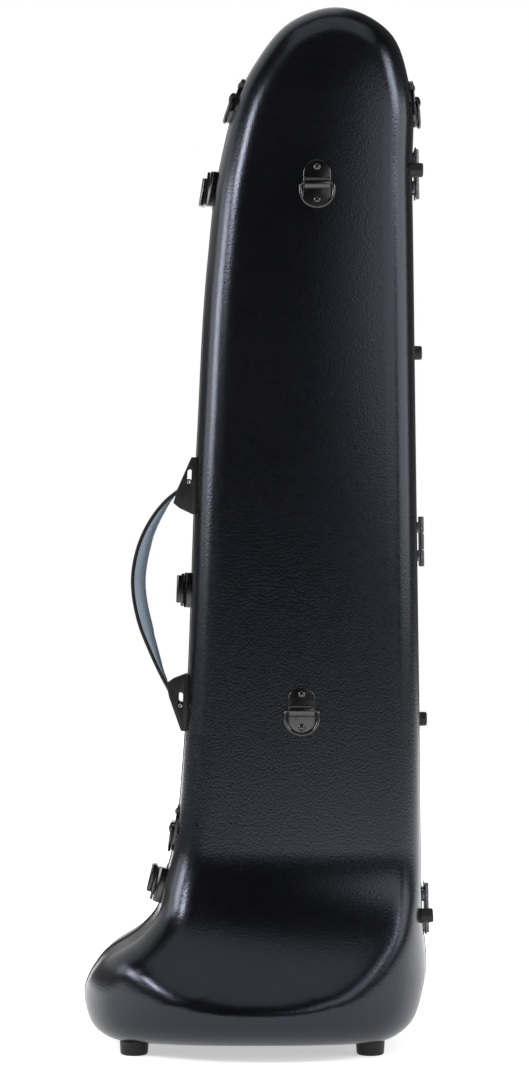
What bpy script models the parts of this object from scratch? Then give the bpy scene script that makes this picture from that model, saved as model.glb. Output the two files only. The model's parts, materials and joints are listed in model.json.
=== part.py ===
# Trombone case: two moulded shells that close like a book.
# The case stands on its toe, where the bell of the trombone lies, and leans on nothing.
# X runs from the handle side to the hinge side, Y from the back shell to the lid, Z up.
# The origin is on the floor, under the middle of the whole case.

import math

import bmesh
import bpy
from mathutils import Matrix, Vector

# Case shells
SHELL_WIDTH = 0.3115          # at the toe, along the seam
SHELL_HEIGHT = 0.942
SHELL_WALL = 0.003
BODY_DEPTH_HIGH = 0.062       # of one half, seam to panel, at the top
BODY_DEPTH_LOW = 0.070        # the same just above the toe
TOE_DEPTH = 0.140             # of one half over the bell
RAMP_HEIGHT = 0.195           # where the panel starts to sweep out, above the shell's base
RAMP_FOOT = 0.036             # where the sweep ends, above the shell's base
RAMP_POWER = 2.0
RIDGE_LEAST_SHARE = 0.05      # of a column of the panel
BELL_AXIS_X = -0.001
ARCH_MARGIN = 0.006635        # of the arch's half width past the toe's widest place
ARCH_POWER = 2.0
ARCH_LIMIT_SHARE = 0.98       # of its half width, where it stops falling
EDGE_BLEND = 0.004
WALL_DRAFT = math.radians(3.0)
WALL_FLANGE = 0.013           # straight part of the wall beside the seam
WALL_ROUNDING = 0.032
ROUNDING_END = math.radians(82.0)
ROUNDING_LIMIT_SHARE = 0.95   # of the depth beyond the flange
TOE_CORNER = 0.040
DOME_RISE = 0.152
SPINE_FOOT = 0.075
SPINE_HEAD = 0.085
RUN_STEPS = 2
CORNER_STEPS = 3
TOE_STEPS = 8
BODY_STEPS = 4
DOME_STEPS = 6
ARC_STEPS = 3                 # rings round the wall's edge
PANEL_STEPS = 3               # rings across the panel

# Outline at the seam: across as shares of SHELL_WIDTH, up as shares of SHELL_HEIGHT
HANDLE_SIDE_SHARES = (
    (-0.353, 0.0), (-0.469, 0.015), (-0.510, 0.043), (-0.461, 0.076), (-0.342, 0.105),
    (-0.295, 0.124), (-0.276, 0.149), (-0.249, 0.184), (-0.233, 0.218), (-0.223, 0.255),
    (-0.178, 0.580), (-0.146, 0.756), (-0.114, 0.842), (-0.018, 0.941), (0.101, 0.987),
    (0.228, 1.0))
HINGE_SIDE_SHARES = (
    (0.337, 0.0), (0.448, 0.015), (0.490, 0.051), (0.483, 0.122), (0.475, 0.319),
    (0.464, 0.584), (0.4536, 0.839), (0.449, 0.921), (0.390, 0.975), (0.228, 1.0))
BASE_MIDDLE_SHARE = -0.01
LINE_STEPS = 12
FIT_PASSES = 4                # to find where a ring meets the panel's own depth

# Round pieces
ROUND_STEPS = 12
BORE_STEPS = 10
TURNED_STEPS = 16
FOOT_STEPS = 14
PLUG_STEPS = 20
STRAP_KEEP = 3                # every third point of the smooth line
END_STEPS = 6                 # half of a rounded end

# Clearances
GAP = 0.0003                  # between pieces that touch
SEAM_GAP = 0.0002             # from the seam plane to each rim
CUT_OVERRUN = 0.004
WELD_DISTANCE = 0.000002

# Rims and seal
RIM_DEPTH = 0.005
RIM_PROUD = 0.0010
RIM_LAP = 0.0008              # rim seen inside the wall
SEAL_WIDTH = 0.0025

# Lining and foam blocks
LINING = 0.009
LINING_CLEARANCE = 0.0006     # to the shell, whose faces are slightly twisted
FOAM_BELOW_SEAM = 0.002
FOAM_CLEARANCE = 0.0008       # from the blocks to the lining
BLOCK_HEIGHT = 0.030
BELL_TUBE_RADIUS = 0.014
RETURN_TUBE_X = 0.100
RETURN_TUBE_RADIUS = 0.010
SLIDE_TUBE_X = (0.012, 0.100)
SLIDE_TUBE_RADIUS = 0.009
SLIDE_TUBE_DEPTH = 0.022
THROAT_Z = 0.262
THROAT_RADIUS = 0.032
CRADLE_HEIGHT_SHARES = (0.414, 0.584)       # of SHELL_HEIGHT, as all heights below
SLIDE_CRADLE_HEIGHT_SHARES = (0.3716, 0.7113)
PLUG_RADIUS = 0.062
PLUG_TOP_RADIUS = 0.034
PLUG_HEIGHT = 0.060
WELL_BLOCK_X = (0.050, 0.112)
WELL_BLOCK_Z = (0.318, 0.366)
WELL_RADIUS = 0.0125
WELL_DEPTH = 0.036

# Hinges
HINGE_HEIGHT_SHARES = (0.8408, 0.4809, 0.1221)
HINGE_CLEARANCE = 0.0004      # from the knuckles to the rims
HINGE_LENGTH = 0.046
HINGE_KNUCKLE_RADIUS = 0.0022
HINGE_PIN_RADIUS = 0.0010
HINGE_LEAF_WIDTH = 0.018
HINGE_LEAF_THICKNESS = 0.0012
HINGE_RIVET_Y = 0.012
HINGE_RIVET_Z = 0.013
HINGE_PAD_HALF = 0.005        # each leaf stands on two pads under its rivets

# Latches
LATCH_HEIGHT_SHARES = (0.8242, 0.4335, 0.1454)
LATCH_WIDTH = 0.032
KEEPER_NEAR = 0.0062
KEEPER_FAR = 0.0170
KEEPER_HEIGHT = 0.0070
KEEPER_STEP = 0.0045
BASE_NEAR = 0.0055
BASE_FAR = 0.0360
BASE_THICKNESS = 0.0014
EAR_OUTER = 0.0106
EAR_THICKNESS = 0.0016
EAR_LENGTH = 0.0070
LEVER_PIVOT_Y = 0.0095
LEVER_PIVOT_X = 0.0055
CLAW_PIVOT_Y = 0.0180
CLAW_PIVOT_X = 0.0066
PIVOT_RADIUS = 0.0013
PIVOT_EYE = 0.0027
LEVER_HALF_WIDTH = 0.0128
LEVER_CHEEK = 0.0016
LEVER_PLATE_START = 0.0225
LEVER_PLATE_END = 0.0400
LEVER_PLATE_FLOOR = 0.0098
LEVER_TOP = 0.0150
CLAW_HEAD_END = 0.0130
CLAW_HEAD_START = 0.0010
CLAW_THICKNESS = 0.0018
CLAW_HALF_WIDTH = 0.0150
CLAW_NECK_HALF_WIDTH = 0.0082
CLAW_CLEARANCE = 0.00035      # over the keeper

# Handle
HANDLE_HEIGHT_SHARE = 0.4299
HANDLE_Y = 0.0215             # behind the seam
HANDLE_SEAT = 0.0010          # of the brackets' frame, off the curved wall
HANDLE_PIN_SPREAD = 0.1020    # from the middle to each pin
HANDLE_PIN_X = 0.0046
HANDLE_PIN_RADIUS = 0.0019
HANDLE_EYE_RADIUS = 0.0031
HANDLE_REACH = 0.0526
HANDLE_TRAVEL = 0.010
STRAP_WIDTH = 0.0240
STRAP_THICKNESS = 0.0030
GRIP_WIDTH = 0.0270
GRIP_THICKNESS = 0.0098
BRACKET_CHEEK = 0.0024
BRACKET_SIDE_GAP = 0.0004
BRACKET_FLOOR = 0.0010
BRACKET_LENGTH = 0.0520
BRACKET_REACH = 0.0180
SLOT_CLEARANCE = 0.00035
# Strap line from pin to pin: along as shares of the pin spread, out as shares of the reach
STRAP_SHARES = (
    (1.0, 0.088), (0.935, 0.235), (0.832, 0.462), (0.555, 0.818), (0.147, 1.0),
    (-0.254, 0.871), (-0.518, 0.654), (-0.780, 0.388), (-0.925, 0.212), (-1.0, 0.088))
# Bracket cheek, from its pin: along as shares of its length, out as shares of its reach
BRACKET_SHARES = (
    (0.442, 0.02), (0.442, 0.17), (-0.144, 0.84), (-0.375, 1.0), (-0.462, 0.67), (-0.558, 0.02))
BRACKET_SCREW_SHARES = (0.37, -0.47)
# Grip thickness along the strap, as shares of the strap's run and of GRIP_THICKNESS
GRIP_SHARES = (
    (0.22, 0.30), (0.26, 0.50), (0.33, 0.72), (0.43, 1.0), (0.54, 0.98), (0.63, 0.72),
    (0.70, 0.50), (0.74, 0.30))

# D-rings
DEE_PLATE_WIDTH = 0.0250
DEE_PLATE_LENGTH = 0.0430
DEE_PLATE_THICKNESS = 0.0020
DEE_SCREW_SPREAD = 0.0148
DEE_BRIDGE_LENGTH = 0.0104
DEE_BRIDGE_HEIGHT = 0.0068
DEE_BRIDGE_SHARE = 0.92       # of its plate's width
DEE_WIRE_RADIUS = 0.0015
DEE_BAR_CLEARANCE = 0.00035
DEE_HALF_WIDTH = 0.0150       # to the wire's middle
DEE_DROP = 0.0215
DEE_SIDE_Y = 0.0200           # of the side D-rings, behind the seam
DEE_FACE_SHARES = ((0.172, 0.8241), (0.1274, 0.3192))     # of SHELL_WIDTH and SHELL_HEIGHT
DEE_HANDLE_SIDE_SHARES = (0.9092, 0.2028)
DEE_HINGE_SIDE_SHARE = 0.9063

# Feet
FOOT_HEIGHT = 0.010
FOOT_RADIUS = 0.0125
FOOT_EDGE = 0.0015
FOOT_ACROSS_SHARES = (-0.3583, 0.3265)      # of SHELL_WIDTH
FOOT_Y = 0.060
SIDE_FOOT_RADIUS = 0.0065
SIDE_FOOT_LENGTH = 0.0095     # beyond the seam
SIDE_FOOT_EDGE = 0.0012
SIDE_FOOT_Y = 0.032
SIDE_FOOT_BACK_SHARES = (0.8408, 0.1184)
SIDE_FOOT_LID_SHARES = (0.6677, 0.305)

# Small fasteners
RIVET_RADIUS = 0.0021
RIVET_HEIGHT = 0.0011
SCREW_RADIUS = 0.0031
SCREW_HEIGHT = 0.0017

SHELL_BASE = FOOT_HEIGHT
SHELL_TOP = SHELL_BASE + SHELL_HEIGHT
BACK = -1
LID = 1


def height_at(share):
    return SHELL_BASE + share * SHELL_HEIGHT


hinge_heights = [height_at(share) for share in HINGE_HEIGHT_SHARES]
latch_heights = [height_at(share) for share in LATCH_HEIGHT_SHARES]
cradle_heights = [height_at(share) for share in CRADLE_HEIGHT_SHARES]
slide_cradle_heights = [height_at(share) for share in SLIDE_CRADLE_HEIGHT_SHARES]
handle_height = height_at(HANDLE_HEIGHT_SHARE)


# Scene and materials

def clear_scene():
    for item in list(bpy.data.objects):
        bpy.data.objects.remove(item, do_unlink=True)


def new_collection(name):
    group = bpy.data.collections.new(name)
    bpy.context.scene.collection.children.link(group)
    return group


def make_material(name, colour, roughness, metallic=0.0):
    material = bpy.data.materials.new(name)
    material.use_nodes = True
    shader = material.node_tree.nodes["Principled BSDF"]
    shader.inputs["Base Color"].default_value = (*colour, 1.0)
    shader.inputs["Roughness"].default_value = roughness
    shader.inputs["Metallic"].default_value = metallic
    return material


clear_scene()
parts = new_collection("trombone_case")
cutters = new_collection("cutters")

abs_black = make_material("moulded_abs_black", (0.012, 0.013, 0.016), 0.38)
rubber_black = make_material("rubber_black", (0.008, 0.008, 0.009), 0.65)
nylon_black = make_material("nylon_black", (0.011, 0.011, 0.013), 0.48)
steel_black = make_material("blackened_steel", (0.020, 0.020, 0.022), 0.35, 0.8)
steel_bright = make_material("nickel_steel", (0.55, 0.55, 0.56), 0.3, 1.0)
grip_grey = make_material("grip_rubber_grey", (0.14, 0.18, 0.21), 0.45)
velvet_black = make_material("velvet_black", (0.010, 0.010, 0.012), 0.9)


def add_object(name, mesh, material, group=None):
    piece = bpy.data.objects.new(name, mesh)
    (group or parts).objects.link(piece)
    if material:
        mesh.materials.clear()
        mesh.materials.append(material)
    return piece


def as_cutter(piece):
    for group in list(piece.users_collection):
        group.objects.unlink(piece)
    cutters.objects.link(piece)
    piece.hide_render = True
    piece.display_type = "WIRE"
    return piece


def add_boolean(piece, tool, operation):
    modifier = piece.modifiers.new(operation.lower(), "BOOLEAN")
    modifier.operation = operation
    modifier.object = tool
    modifier.solver = "EXACT"


def settled(piece):
    # Replaces a curve or a modified object with the plain mesh it evaluates to
    bpy.context.view_layer.update()
    depsgraph = bpy.context.evaluated_depsgraph_get()
    mesh = bpy.data.meshes.new_from_object(piece.evaluated_get(depsgraph))
    work = bmesh.new()
    work.from_mesh(mesh)
    bmesh.ops.remove_doubles(work, verts=work.verts, dist=WELD_DISTANCE)
    bmesh.ops.recalc_face_normals(work, faces=work.faces)
    work.to_mesh(mesh)
    work.free()
    name = piece.name
    group = piece.users_collection[0]
    material = piece.active_material
    place = piece.matrix_world.copy()
    bpy.data.objects.remove(piece, do_unlink=True)
    plain = add_object(name, mesh, material, group)
    plain.matrix_world = place
    return plain


# Small shapes, each in its own frame

def flat_piece(name, outline, thickness, material, holes=()):
    # A flat outline in X and Y, with round holes, as thick as given along Z
    curve = bpy.data.curves.new(name, "CURVE")
    curve.dimensions = "2D"
    curve.fill_mode = "BOTH"
    curve.extrude = thickness / 2
    for loop in (outline, *holes):
        spline = curve.splines.new("POLY")
        spline.points.add(len(loop) - 1)
        spline.use_cyclic_u = True
        for point, place in zip(spline.points, loop):
            point.co = (place[0], place[1], 0.0, 1.0)
    piece = bpy.data.objects.new(name, curve)
    parts.objects.link(piece)
    curve.materials.append(material)
    return settled(piece)


def circle(middle, radius, steps=ROUND_STEPS, start=0.0, turn=math.tau):
    points = []
    count = steps if turn == math.tau else steps + 1
    for step in range(count):
        angle = start + turn * step / steps
        points.append((middle[0] + radius * math.cos(angle), middle[1] + radius * math.sin(angle)))
    return points


def box_piece(name, low, high, material):
    work = bmesh.new()
    bmesh.ops.create_cube(work, size=1.0)
    size = [top - bottom for bottom, top in zip(low, high)]
    middle = [(top + bottom) / 2 for bottom, top in zip(low, high)]
    bmesh.ops.scale(work, vec=size, verts=work.verts)
    bmesh.ops.translate(work, vec=middle, verts=work.verts)
    mesh = bpy.data.meshes.new(name)
    work.to_mesh(mesh)
    work.free()
    return add_object(name, mesh, material)


def cylinder_piece(name, radius, length, material, steps=ROUND_STEPS, top_radius=None):
    # Along Z, with its middle at the origin
    work = bmesh.new()
    bmesh.ops.create_cone(work, cap_ends=True, segments=steps, radius1=radius,
                          radius2=radius if top_radius is None else top_radius, depth=length)
    mesh = bpy.data.meshes.new(name)
    work.to_mesh(mesh)
    work.free()
    return add_object(name, mesh, material)


def turned_piece(name, profile, material, steps=TURNED_STEPS):
    # A profile of (radius, height) pairs from the top down, turned about Z
    mesh = bpy.data.meshes.new(name)
    points = [(radius, 0.0, height) for radius, height in profile]
    mesh.from_pydata(points, [(i, i + 1) for i in range(len(points) - 1)], [])
    piece = add_object(name, mesh, material)
    screw = piece.modifiers.new("turn", "SCREW")
    screw.axis = "Z"
    screw.angle = math.tau
    screw.steps = steps
    screw.render_steps = steps
    screw.use_merge_vertices = True
    screw.merge_threshold = WELD_DISTANCE
    return settled(piece)


def dome_head(name, radius, height, material):
    share = math.sqrt(0.5)
    profile = ((0.0, height), (radius * share, height * share), (radius, 0.0), (0.0, 0.0))
    return turned_piece(name, profile, material, BORE_STEPS)


def united(name, pieces):
    # One solid from pieces that overlap
    first = pieces[0]
    for other in pieces[1:]:
        add_boolean(first, other, "UNION")
    first.name = name + "_whole"
    whole = settled(first)
    for other in pieces[1:]:
        bpy.data.objects.remove(other, do_unlink=True)
    whole.name = name
    return whole


def head_on(name, place, radius, height):
    # A fastener's head that faces along the frame's X, sunk into its plate
    head = dome_head(name, radius, height + GAP, steel_black)
    lay = Matrix.Translation((place[0] - GAP, place[1], place[2])) @ Matrix.Rotation(math.pi / 2, 4, "Y")
    return put(head, lay)


def put(piece, frame, offset=(0.0, 0.0, 0.0)):
    piece.matrix_world = frame @ Matrix.Translation(offset)
    return piece


def copy_of(piece, name):
    twin = bpy.data.objects.new(name, piece.data)
    parts.objects.link(twin)
    return twin


# Outline of the seam

def smooth_line(points, start_way, end_way):
    # A smooth line through the points, with the given directions at its ends
    spans = [(b - a).length for a, b in zip(points, points[1:])]
    ways = [start_way]
    for i in range(1, len(points) - 1):
        before = (points[i] - points[i - 1]) / spans[i - 1]
        after = (points[i + 1] - points[i]) / spans[i]
        ways.append((before * spans[i] + after * spans[i - 1]) / (spans[i] + spans[i - 1]))
    ways.append(end_way)
    line = [points[0].copy()]
    for i, span in enumerate(spans):
        for step in range(1, LINE_STEPS + 1):
            t = step / LINE_STEPS
            line.append(points[i] * (2 * t ** 3 - 3 * t ** 2 + 1)
                        + ways[i] * span * (t ** 3 - 2 * t ** 2 + t)
                        + points[i + 1] * (3 * t ** 2 - 2 * t ** 3)
                        + ways[i + 1] * span * (t ** 3 - t ** 2))
    return line


def side_line(shares, side):
    points = [Vector((x * SHELL_WIDTH, SHELL_BASE + z * SHELL_HEIGHT)) for x, z in shares]
    return smooth_line(points, Vector((side, 0.0)), Vector((-side, 0.0)))


handle_line = side_line(HANDLE_SIDE_SHARES, -1)
hinge_line = side_line(HINGE_SIDE_SHARES, 1)
base_middle = Vector((BASE_MIDDLE_SHARE * SHELL_WIDTH, SHELL_BASE))
toe_reach = max(abs(x * SHELL_WIDTH - BELL_AXIS_X) for x, z in HANDLE_SIDE_SHARES + HINGE_SIDE_SHARES)
arch_half_width = toe_reach + ARCH_MARGIN


def line_x(line, height):
    # Where a side line is at a height
    for lower, upper in zip(line, line[1:]):
        if lower.y <= height <= upper.y and upper.y > lower.y:
            return lower.x + (upper.x - lower.x) * (height - lower.y) / (upper.y - lower.y)
    return line[-1].x if height > line[-1].y else line[0].x


def station_heights():
    heights = []
    corner_top = SHELL_BASE + TOE_CORNER
    for step in range(1, CORNER_STEPS + 1):
        angle = math.pi / 2 * step / CORNER_STEPS
        heights.append(corner_top - TOE_CORNER * math.cos(angle))
    # The close steps reach up to the lower D-ring at the side, where the outline still bends
    toe_top = max(SHELL_BASE + RAMP_HEIGHT, height_at(DEE_HANDLE_SIDE_SHARES[-1]))
    dome_base = SHELL_TOP - DOME_RISE
    for low, high, steps in ((corner_top, toe_top, TOE_STEPS), (toe_top, dome_base, BODY_STEPS)):
        for step in range(1, steps + 1):
            heights.append(low + (high - low) * step / steps)
    for step in range(1, DOME_STEPS):
        heights.append(dome_base + DOME_RISE * math.sin(math.pi / 2 * step / DOME_STEPS))
    return heights


def seam_stations():
    # Pairs of facing outline points, from the middle of the base to the top
    pairs = [(base_middle, base_middle)]
    for step in range(1, RUN_STEPS + 1):
        share = step / RUN_STEPS
        pairs.append((base_middle.lerp(handle_line[0], share), base_middle.lerp(hinge_line[0], share)))
    for height in station_heights():
        pairs.append((Vector((line_x(handle_line, height), height)),
                      Vector((line_x(hinge_line, height), height))))
    pairs.append((handle_line[-1], handle_line[-1]))
    return pairs


stations = seam_stations()
loop_points = [pair[0] for pair in stations] + [pair[1] for pair in reversed(stations[1:-1])]
loop_stations = list(range(len(stations))) + list(range(len(stations) - 2, 0, -1))


def loop_normals(points):
    # Directions into the outline, at each of its points
    normals = []
    for i, point in enumerate(points):
        way = points[(i + 1) % len(points)] - points[i - 1]
        normals.append(Vector((way.y, -way.x)).normalized())
    return normals


inward = loop_normals(loop_points)


def spine_point(station):
    low = SHELL_BASE + SPINE_FOOT
    high = SHELL_TOP - SPINE_HEAD
    height = min(max(stations[station][0].y, low), high)
    middle = (line_x(handle_line, height) + line_x(hinge_line, height)) / 2
    return Vector((middle, height))


# Surface of one half

def panel_depth(x, z):
    # How far the half bulges from the seam plane
    height = z - SHELL_BASE
    share = (height - RAMP_HEIGHT) / (SHELL_HEIGHT - RAMP_HEIGHT)
    panel = BODY_DEPTH_LOW + (BODY_DEPTH_HIGH - BODY_DEPTH_LOW) * min(max(share, 0.0), 1.0)
    sweep = min(max((RAMP_HEIGHT - height) / (RAMP_HEIGHT - RAMP_FOOT), 0.0), 1.0)
    panel += (TOE_DEPTH - BODY_DEPTH_LOW) * sweep ** RAMP_POWER
    across = min(abs(x - BELL_AXIS_X) / arch_half_width, ARCH_LIMIT_SHARE)
    arch = TOE_DEPTH * (1 - across ** ARCH_POWER) ** (1 / ARCH_POWER)
    low = min(panel, arch)
    return low - EDGE_BLEND * math.log(1 + math.exp(-abs(panel - arch) / EDGE_BLEND))


def ridge_share(edge, spine):
    # Where the panel crosses the ridge at the foot of the sweep
    even_share = 1 / (PANEL_STEPS + 1)
    if spine.y <= edge.y:
        return even_share
    share = (SHELL_BASE + RAMP_FOOT - edge.y) / (spine.y - edge.y)
    return share if RIDGE_LEAST_SHARE < share < 1 - even_share else even_share


def column(point, way_in, spine):
    # Points (x, depth, z) from the wall's end over its rounded edge and across the panel
    def depth_at(place):
        return panel_depth(place.x, place.y)

    # The edge is rounded less where the half is shallow
    rounding = min(WALL_ROUNDING, (depth_at(point) - WALL_FLANGE) * ROUNDING_LIMIT_SHARE)
    rise = rounding * math.sin(ROUNDING_END)
    span = (spine - point).length - rounding * (1 - math.cos(ROUNDING_END))
    crown = span / math.tan(ROUNDING_END) / 2
    inset = 0.0
    for attempt in range(FIT_PASSES):
        wall_end = depth_at(point + way_in * inset) - rise - crown
        inset = max(wall_end - WALL_FLANGE, 0.0) * math.tan(WALL_DRAFT)
    points = []
    for step in range(ARC_STEPS + 1):
        angle = ROUNDING_END * step / ARC_STEPS
        edge = point + way_in * (inset + rounding * (1 - math.cos(angle)))
        depth = depth_at(edge) - crown - rise + rounding * math.sin(angle)
        points.append((edge.x, max(depth, WALL_FLANGE), edge.y))
    first_share = ridge_share(edge, spine)
    for step in range(PANEL_STEPS):
        share = first_share + (1 - first_share) * step / PANEL_STEPS
        place = edge.lerp(spine, share)
        points.append((place.x, depth_at(place) - crown * (1 - share) ** 2, place.y))
    points.append((spine.x, depth_at(spine), spine.y))
    return points


def half_rings(seam_depth):
    # Rings of points (x, depth, z) from the seam plane to the spine
    columns = []
    for point, way, station in zip(loop_points, inward, loop_stations):
        spine = spine_point(station)
        lean = (way + (spine - point).normalized()).normalized()
        wall = [(point.x, seam_depth, point.y), (point.x, WALL_FLANGE, point.y)]
        columns.append(wall + column(point, lean, spine))
    return list(zip(*columns))


def half_surface(side, seam_depth, inset):
    # An open surface of one half, set in from the outside by the inset
    rings = half_rings(seam_depth)
    work = bmesh.new()
    grid = []
    for ring in rings:
        grid.append([work.verts.new((x, side * y, z)) for x, y, z in ring])
    count = len(loop_points)
    for lower, upper in zip(grid, grid[1:]):
        for i in range(count):
            j = (i + 1) % count
            corners = (lower[i], lower[j], upper[j], upper[i])
            work.faces.new(corners if side == LID else corners[::-1])
    bmesh.ops.remove_doubles(work, verts=work.verts, dist=WELD_DISTANCE)
    work.normal_update()
    places = [vertex.co - vertex.normal * inset for vertex in work.verts]
    for vertex, place in zip(work.verts, places):
        vertex.co = place
    return work


def half_shell(name, side, seam_depth, inset, thickness, material):
    work = half_surface(side, seam_depth, inset)
    mesh = bpy.data.meshes.new(name)
    work.to_mesh(mesh)
    work.free()
    mesh.shade_smooth()
    piece = add_object(name, mesh, material)
    wall = piece.modifiers.new("wall", "SOLIDIFY")
    wall.thickness = thickness
    wall.offset = -1.0
    wall.use_even_offset = True
    return piece


def half_solid(name, side, seam_depth, inset):
    # The closed space within one half, flat at the seam
    work = half_surface(side, seam_depth, inset)
    rim = [edge for edge in work.edges if edge.is_boundary]
    bmesh.ops.contextual_create(work, geom=rim)
    bmesh.ops.recalc_face_normals(work, faces=work.faces)
    mesh = bpy.data.meshes.new(name)
    work.to_mesh(mesh)
    work.free()
    return as_cutter(add_object(name, mesh, None))


def rim_band(name, side, outside, inside, near, far, material):
    # A band along the outline, between two offsets from it and two depths
    work = bmesh.new()
    rows = []
    for offset, depth in ((outside, near), (inside, near), (inside, far), (outside, far)):
        row = []
        for point, way in zip(loop_points, inward):
            place = point + way * offset
            row.append(work.verts.new((place.x, side * depth, place.y)))
        rows.append(row)
    count = len(loop_points)
    for k in range(len(rows)):
        for i in range(count):
            j = (i + 1) % count
            work.faces.new((rows[k][i], rows[k][j], rows[(k + 1) % 4][j], rows[(k + 1) % 4][i]))
    bmesh.ops.recalc_face_normals(work, faces=work.faces)
    mesh = bpy.data.meshes.new(name)
    work.to_mesh(mesh)
    work.free()
    return add_object(name, mesh, material)


def side_name(side):
    return "back" if side == BACK else "lid"


# Shells, rims and linings

envelopes = {}
cores = {}
lining_inset = SHELL_WALL + LINING_CLEARANCE
for side in (BACK, LID):
    label = side_name(side)
    half_shell(label + "_shell", side, RIM_DEPTH + GAP, 0.0, SHELL_WALL, abs_black)
    rim_band(label + "_rim", side, -RIM_PROUD, SHELL_WALL + RIM_LAP, SEAM_GAP, RIM_DEPTH, rubber_black)
    half_shell(label + "_lining", side, RIM_DEPTH + GAP, lining_inset, LINING, velvet_black)
    envelopes[side] = half_solid(label + "_envelope", side, 0.0, -GAP)
    cores[side] = half_solid(label + "_core", side, FOAM_BELOW_SEAM, lining_inset + LINING + FOAM_CLEARANCE)

seal_outside = SHELL_WALL + RIM_LAP + GAP
rim_band("rim_seal", BACK, seal_outside, seal_outside + SEAL_WIDTH, SEAM_GAP, RIM_DEPTH, rubber_black)


# Foam blocks

def foam_block(name, side, low_x, high_x, low_z, high_z, depth, tools):
    near = -CUT_OVERRUN
    low = (low_x, min(side * near, side * depth), low_z)
    high = (high_x, max(side * near, side * depth), high_z)
    block = box_piece(name, low, high, velvet_black)
    add_boolean(block, cores[side], "INTERSECT")
    for tool in tools:
        add_boolean(block, as_cutter(tool), "DIFFERENCE")
    return block


def notch(name, side, x, z, radius, depth, height):
    # A channel along Z that is open to the seam, with a round bottom
    overrun = CUT_OVERRUN * 2
    points = [(x + radius, -side * overrun)]
    points += circle((x, side * depth), radius, BORE_STEPS, 0.0, side * math.pi)
    points.append((x - radius, -side * overrun))
    tool = flat_piece(name, points, height + overrun, velvet_black)
    return put(tool, Matrix.Translation((0.0, 0.0, z)))


wide = SHELL_WIDTH / 2 + CUT_OVERRUN
half_block = BLOCK_HEIGHT / 2
throat_notch = notch("throat_notch", BACK, BELL_AXIS_X, THROAT_Z, THROAT_RADIUS, 0.0, BLOCK_HEIGHT)
foam_block("back_throat_cradle", BACK, -wide, wide, THROAT_Z - half_block, THROAT_Z + half_block,
           TOE_DEPTH, [throat_notch])
for place, height in zip(("lower", "upper"), cradle_heights):
    bell_notch = notch(f"bell_notch_{place}", BACK, BELL_AXIS_X, height, BELL_TUBE_RADIUS, 0.0,
                       BLOCK_HEIGHT)
    return_notch = notch(f"return_notch_{place}", BACK, RETURN_TUBE_X, height, RETURN_TUBE_RADIUS, 0.0,
                         BLOCK_HEIGHT)
    foam_block(f"back_tube_cradle_{place}", BACK, -wide, wide, height - half_block, height + half_block,
               TOE_DEPTH, [bell_notch, return_notch])
for place, height in zip(("lower", "upper"), slide_cradle_heights):
    slots = []
    for tube, across in enumerate(SLIDE_TUBE_X):
        slots.append(notch(f"slide_notch_{place}_{tube}", LID, across, height, SLIDE_TUBE_RADIUS,
                           SLIDE_TUBE_DEPTH, BLOCK_HEIGHT))
    foam_block(f"lid_slide_cradle_{place}", LID, -wide, wide, height - half_block, height + half_block,
               TOE_DEPTH, slots)


def half_plug(name, side):
    # The bell stands over this block, which is cut at the seam
    plug = cylinder_piece(name, PLUG_RADIUS, PLUG_HEIGHT, velvet_black, PLUG_STEPS, PLUG_TOP_RADIUS)
    floor = SHELL_BASE + lining_inset + LINING + GAP
    put(plug, Matrix.Translation((BELL_AXIS_X, 0.0, floor + PLUG_HEIGHT / 2)))
    add_boolean(plug, cores[side], "INTERSECT")
    return plug


half_plug("back_bell_plug", BACK)
half_plug("lid_bell_plug", LID)

wells = []
well_low, well_high = WELL_BLOCK_X
well_z = sum(WELL_BLOCK_Z) / 2
for index in (1, 2):
    across = well_low + (well_high - well_low) * (2 * index - 1) / 4
    well = cylinder_piece(f"well_{index}", WELL_RADIUS, WELL_DEPTH + CUT_OVERRUN, velvet_black, TURNED_STEPS)
    well_y = FOAM_BELOW_SEAM + WELL_DEPTH / 2 - CUT_OVERRUN / 2
    put(well, Matrix.Translation((across, BACK * well_y, well_z)) @ Matrix.Rotation(math.pi / 2, 4, "X"))
    wells.append(well)
foam_block("mouthpiece_block", BACK, well_low, well_high, WELL_BLOCK_Z[0], WELL_BLOCK_Z[1],
           BODY_DEPTH_LOW, wells)


# Frames on the outside of the walls

def wall_frame(line, side_x, height, depth=0.0):
    # X points out of the wall, Z up along it, at a depth behind or before the seam
    span = LATCH_WIDTH / 2
    low = Vector((line_x(line, height - span), height - span))
    high = Vector((line_x(line, height + span), height + span))
    along = (high - low).normalized()
    up = Vector((along.x, 0.0, along.y))
    out = Vector((side_x * along.y, 0.0, -side_x * along.x))
    across = up.cross(out)
    frame = Matrix((out, across, up)).transposed().to_4x4()
    frame.translation = Vector((line_x(line, height), depth, height))
    return frame


def seat_on(piece, side):
    add_boolean(piece, envelopes[side], "DIFFERENCE")
    return piece


# Hinges: two outer knuckles on the back leaf, one middle knuckle on the lid leaf

def seam_place(height):
    return Vector((line_x(hinge_line, height), 0.0, height))


seam_high, seam_low = seam_place(hinge_heights[0]), seam_place(hinge_heights[-1])
hinge_way = (seam_high - seam_low).normalized()
hinge_out = Vector((hinge_way.z, 0.0, -hinge_way.x))
# The straight axis clears the rims wherever a leaf runs along the curved seam
seam_bulge = 0.0
for height in hinge_heights:
    for step in range(LINE_STEPS + 1):
        place = seam_place(height + HINGE_LENGTH * (step / LINE_STEPS - 1 / 2))
        seam_bulge = max(seam_bulge, (place - seam_low).dot(hinge_out))
hinge_standoff = seam_bulge + RIM_PROUD + HINGE_CLEARANCE + HINGE_KNUCKLE_RADIUS
hinge_low = seam_low + hinge_out * hinge_standoff
hinge_high = seam_high + hinge_out * hinge_standoff


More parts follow.
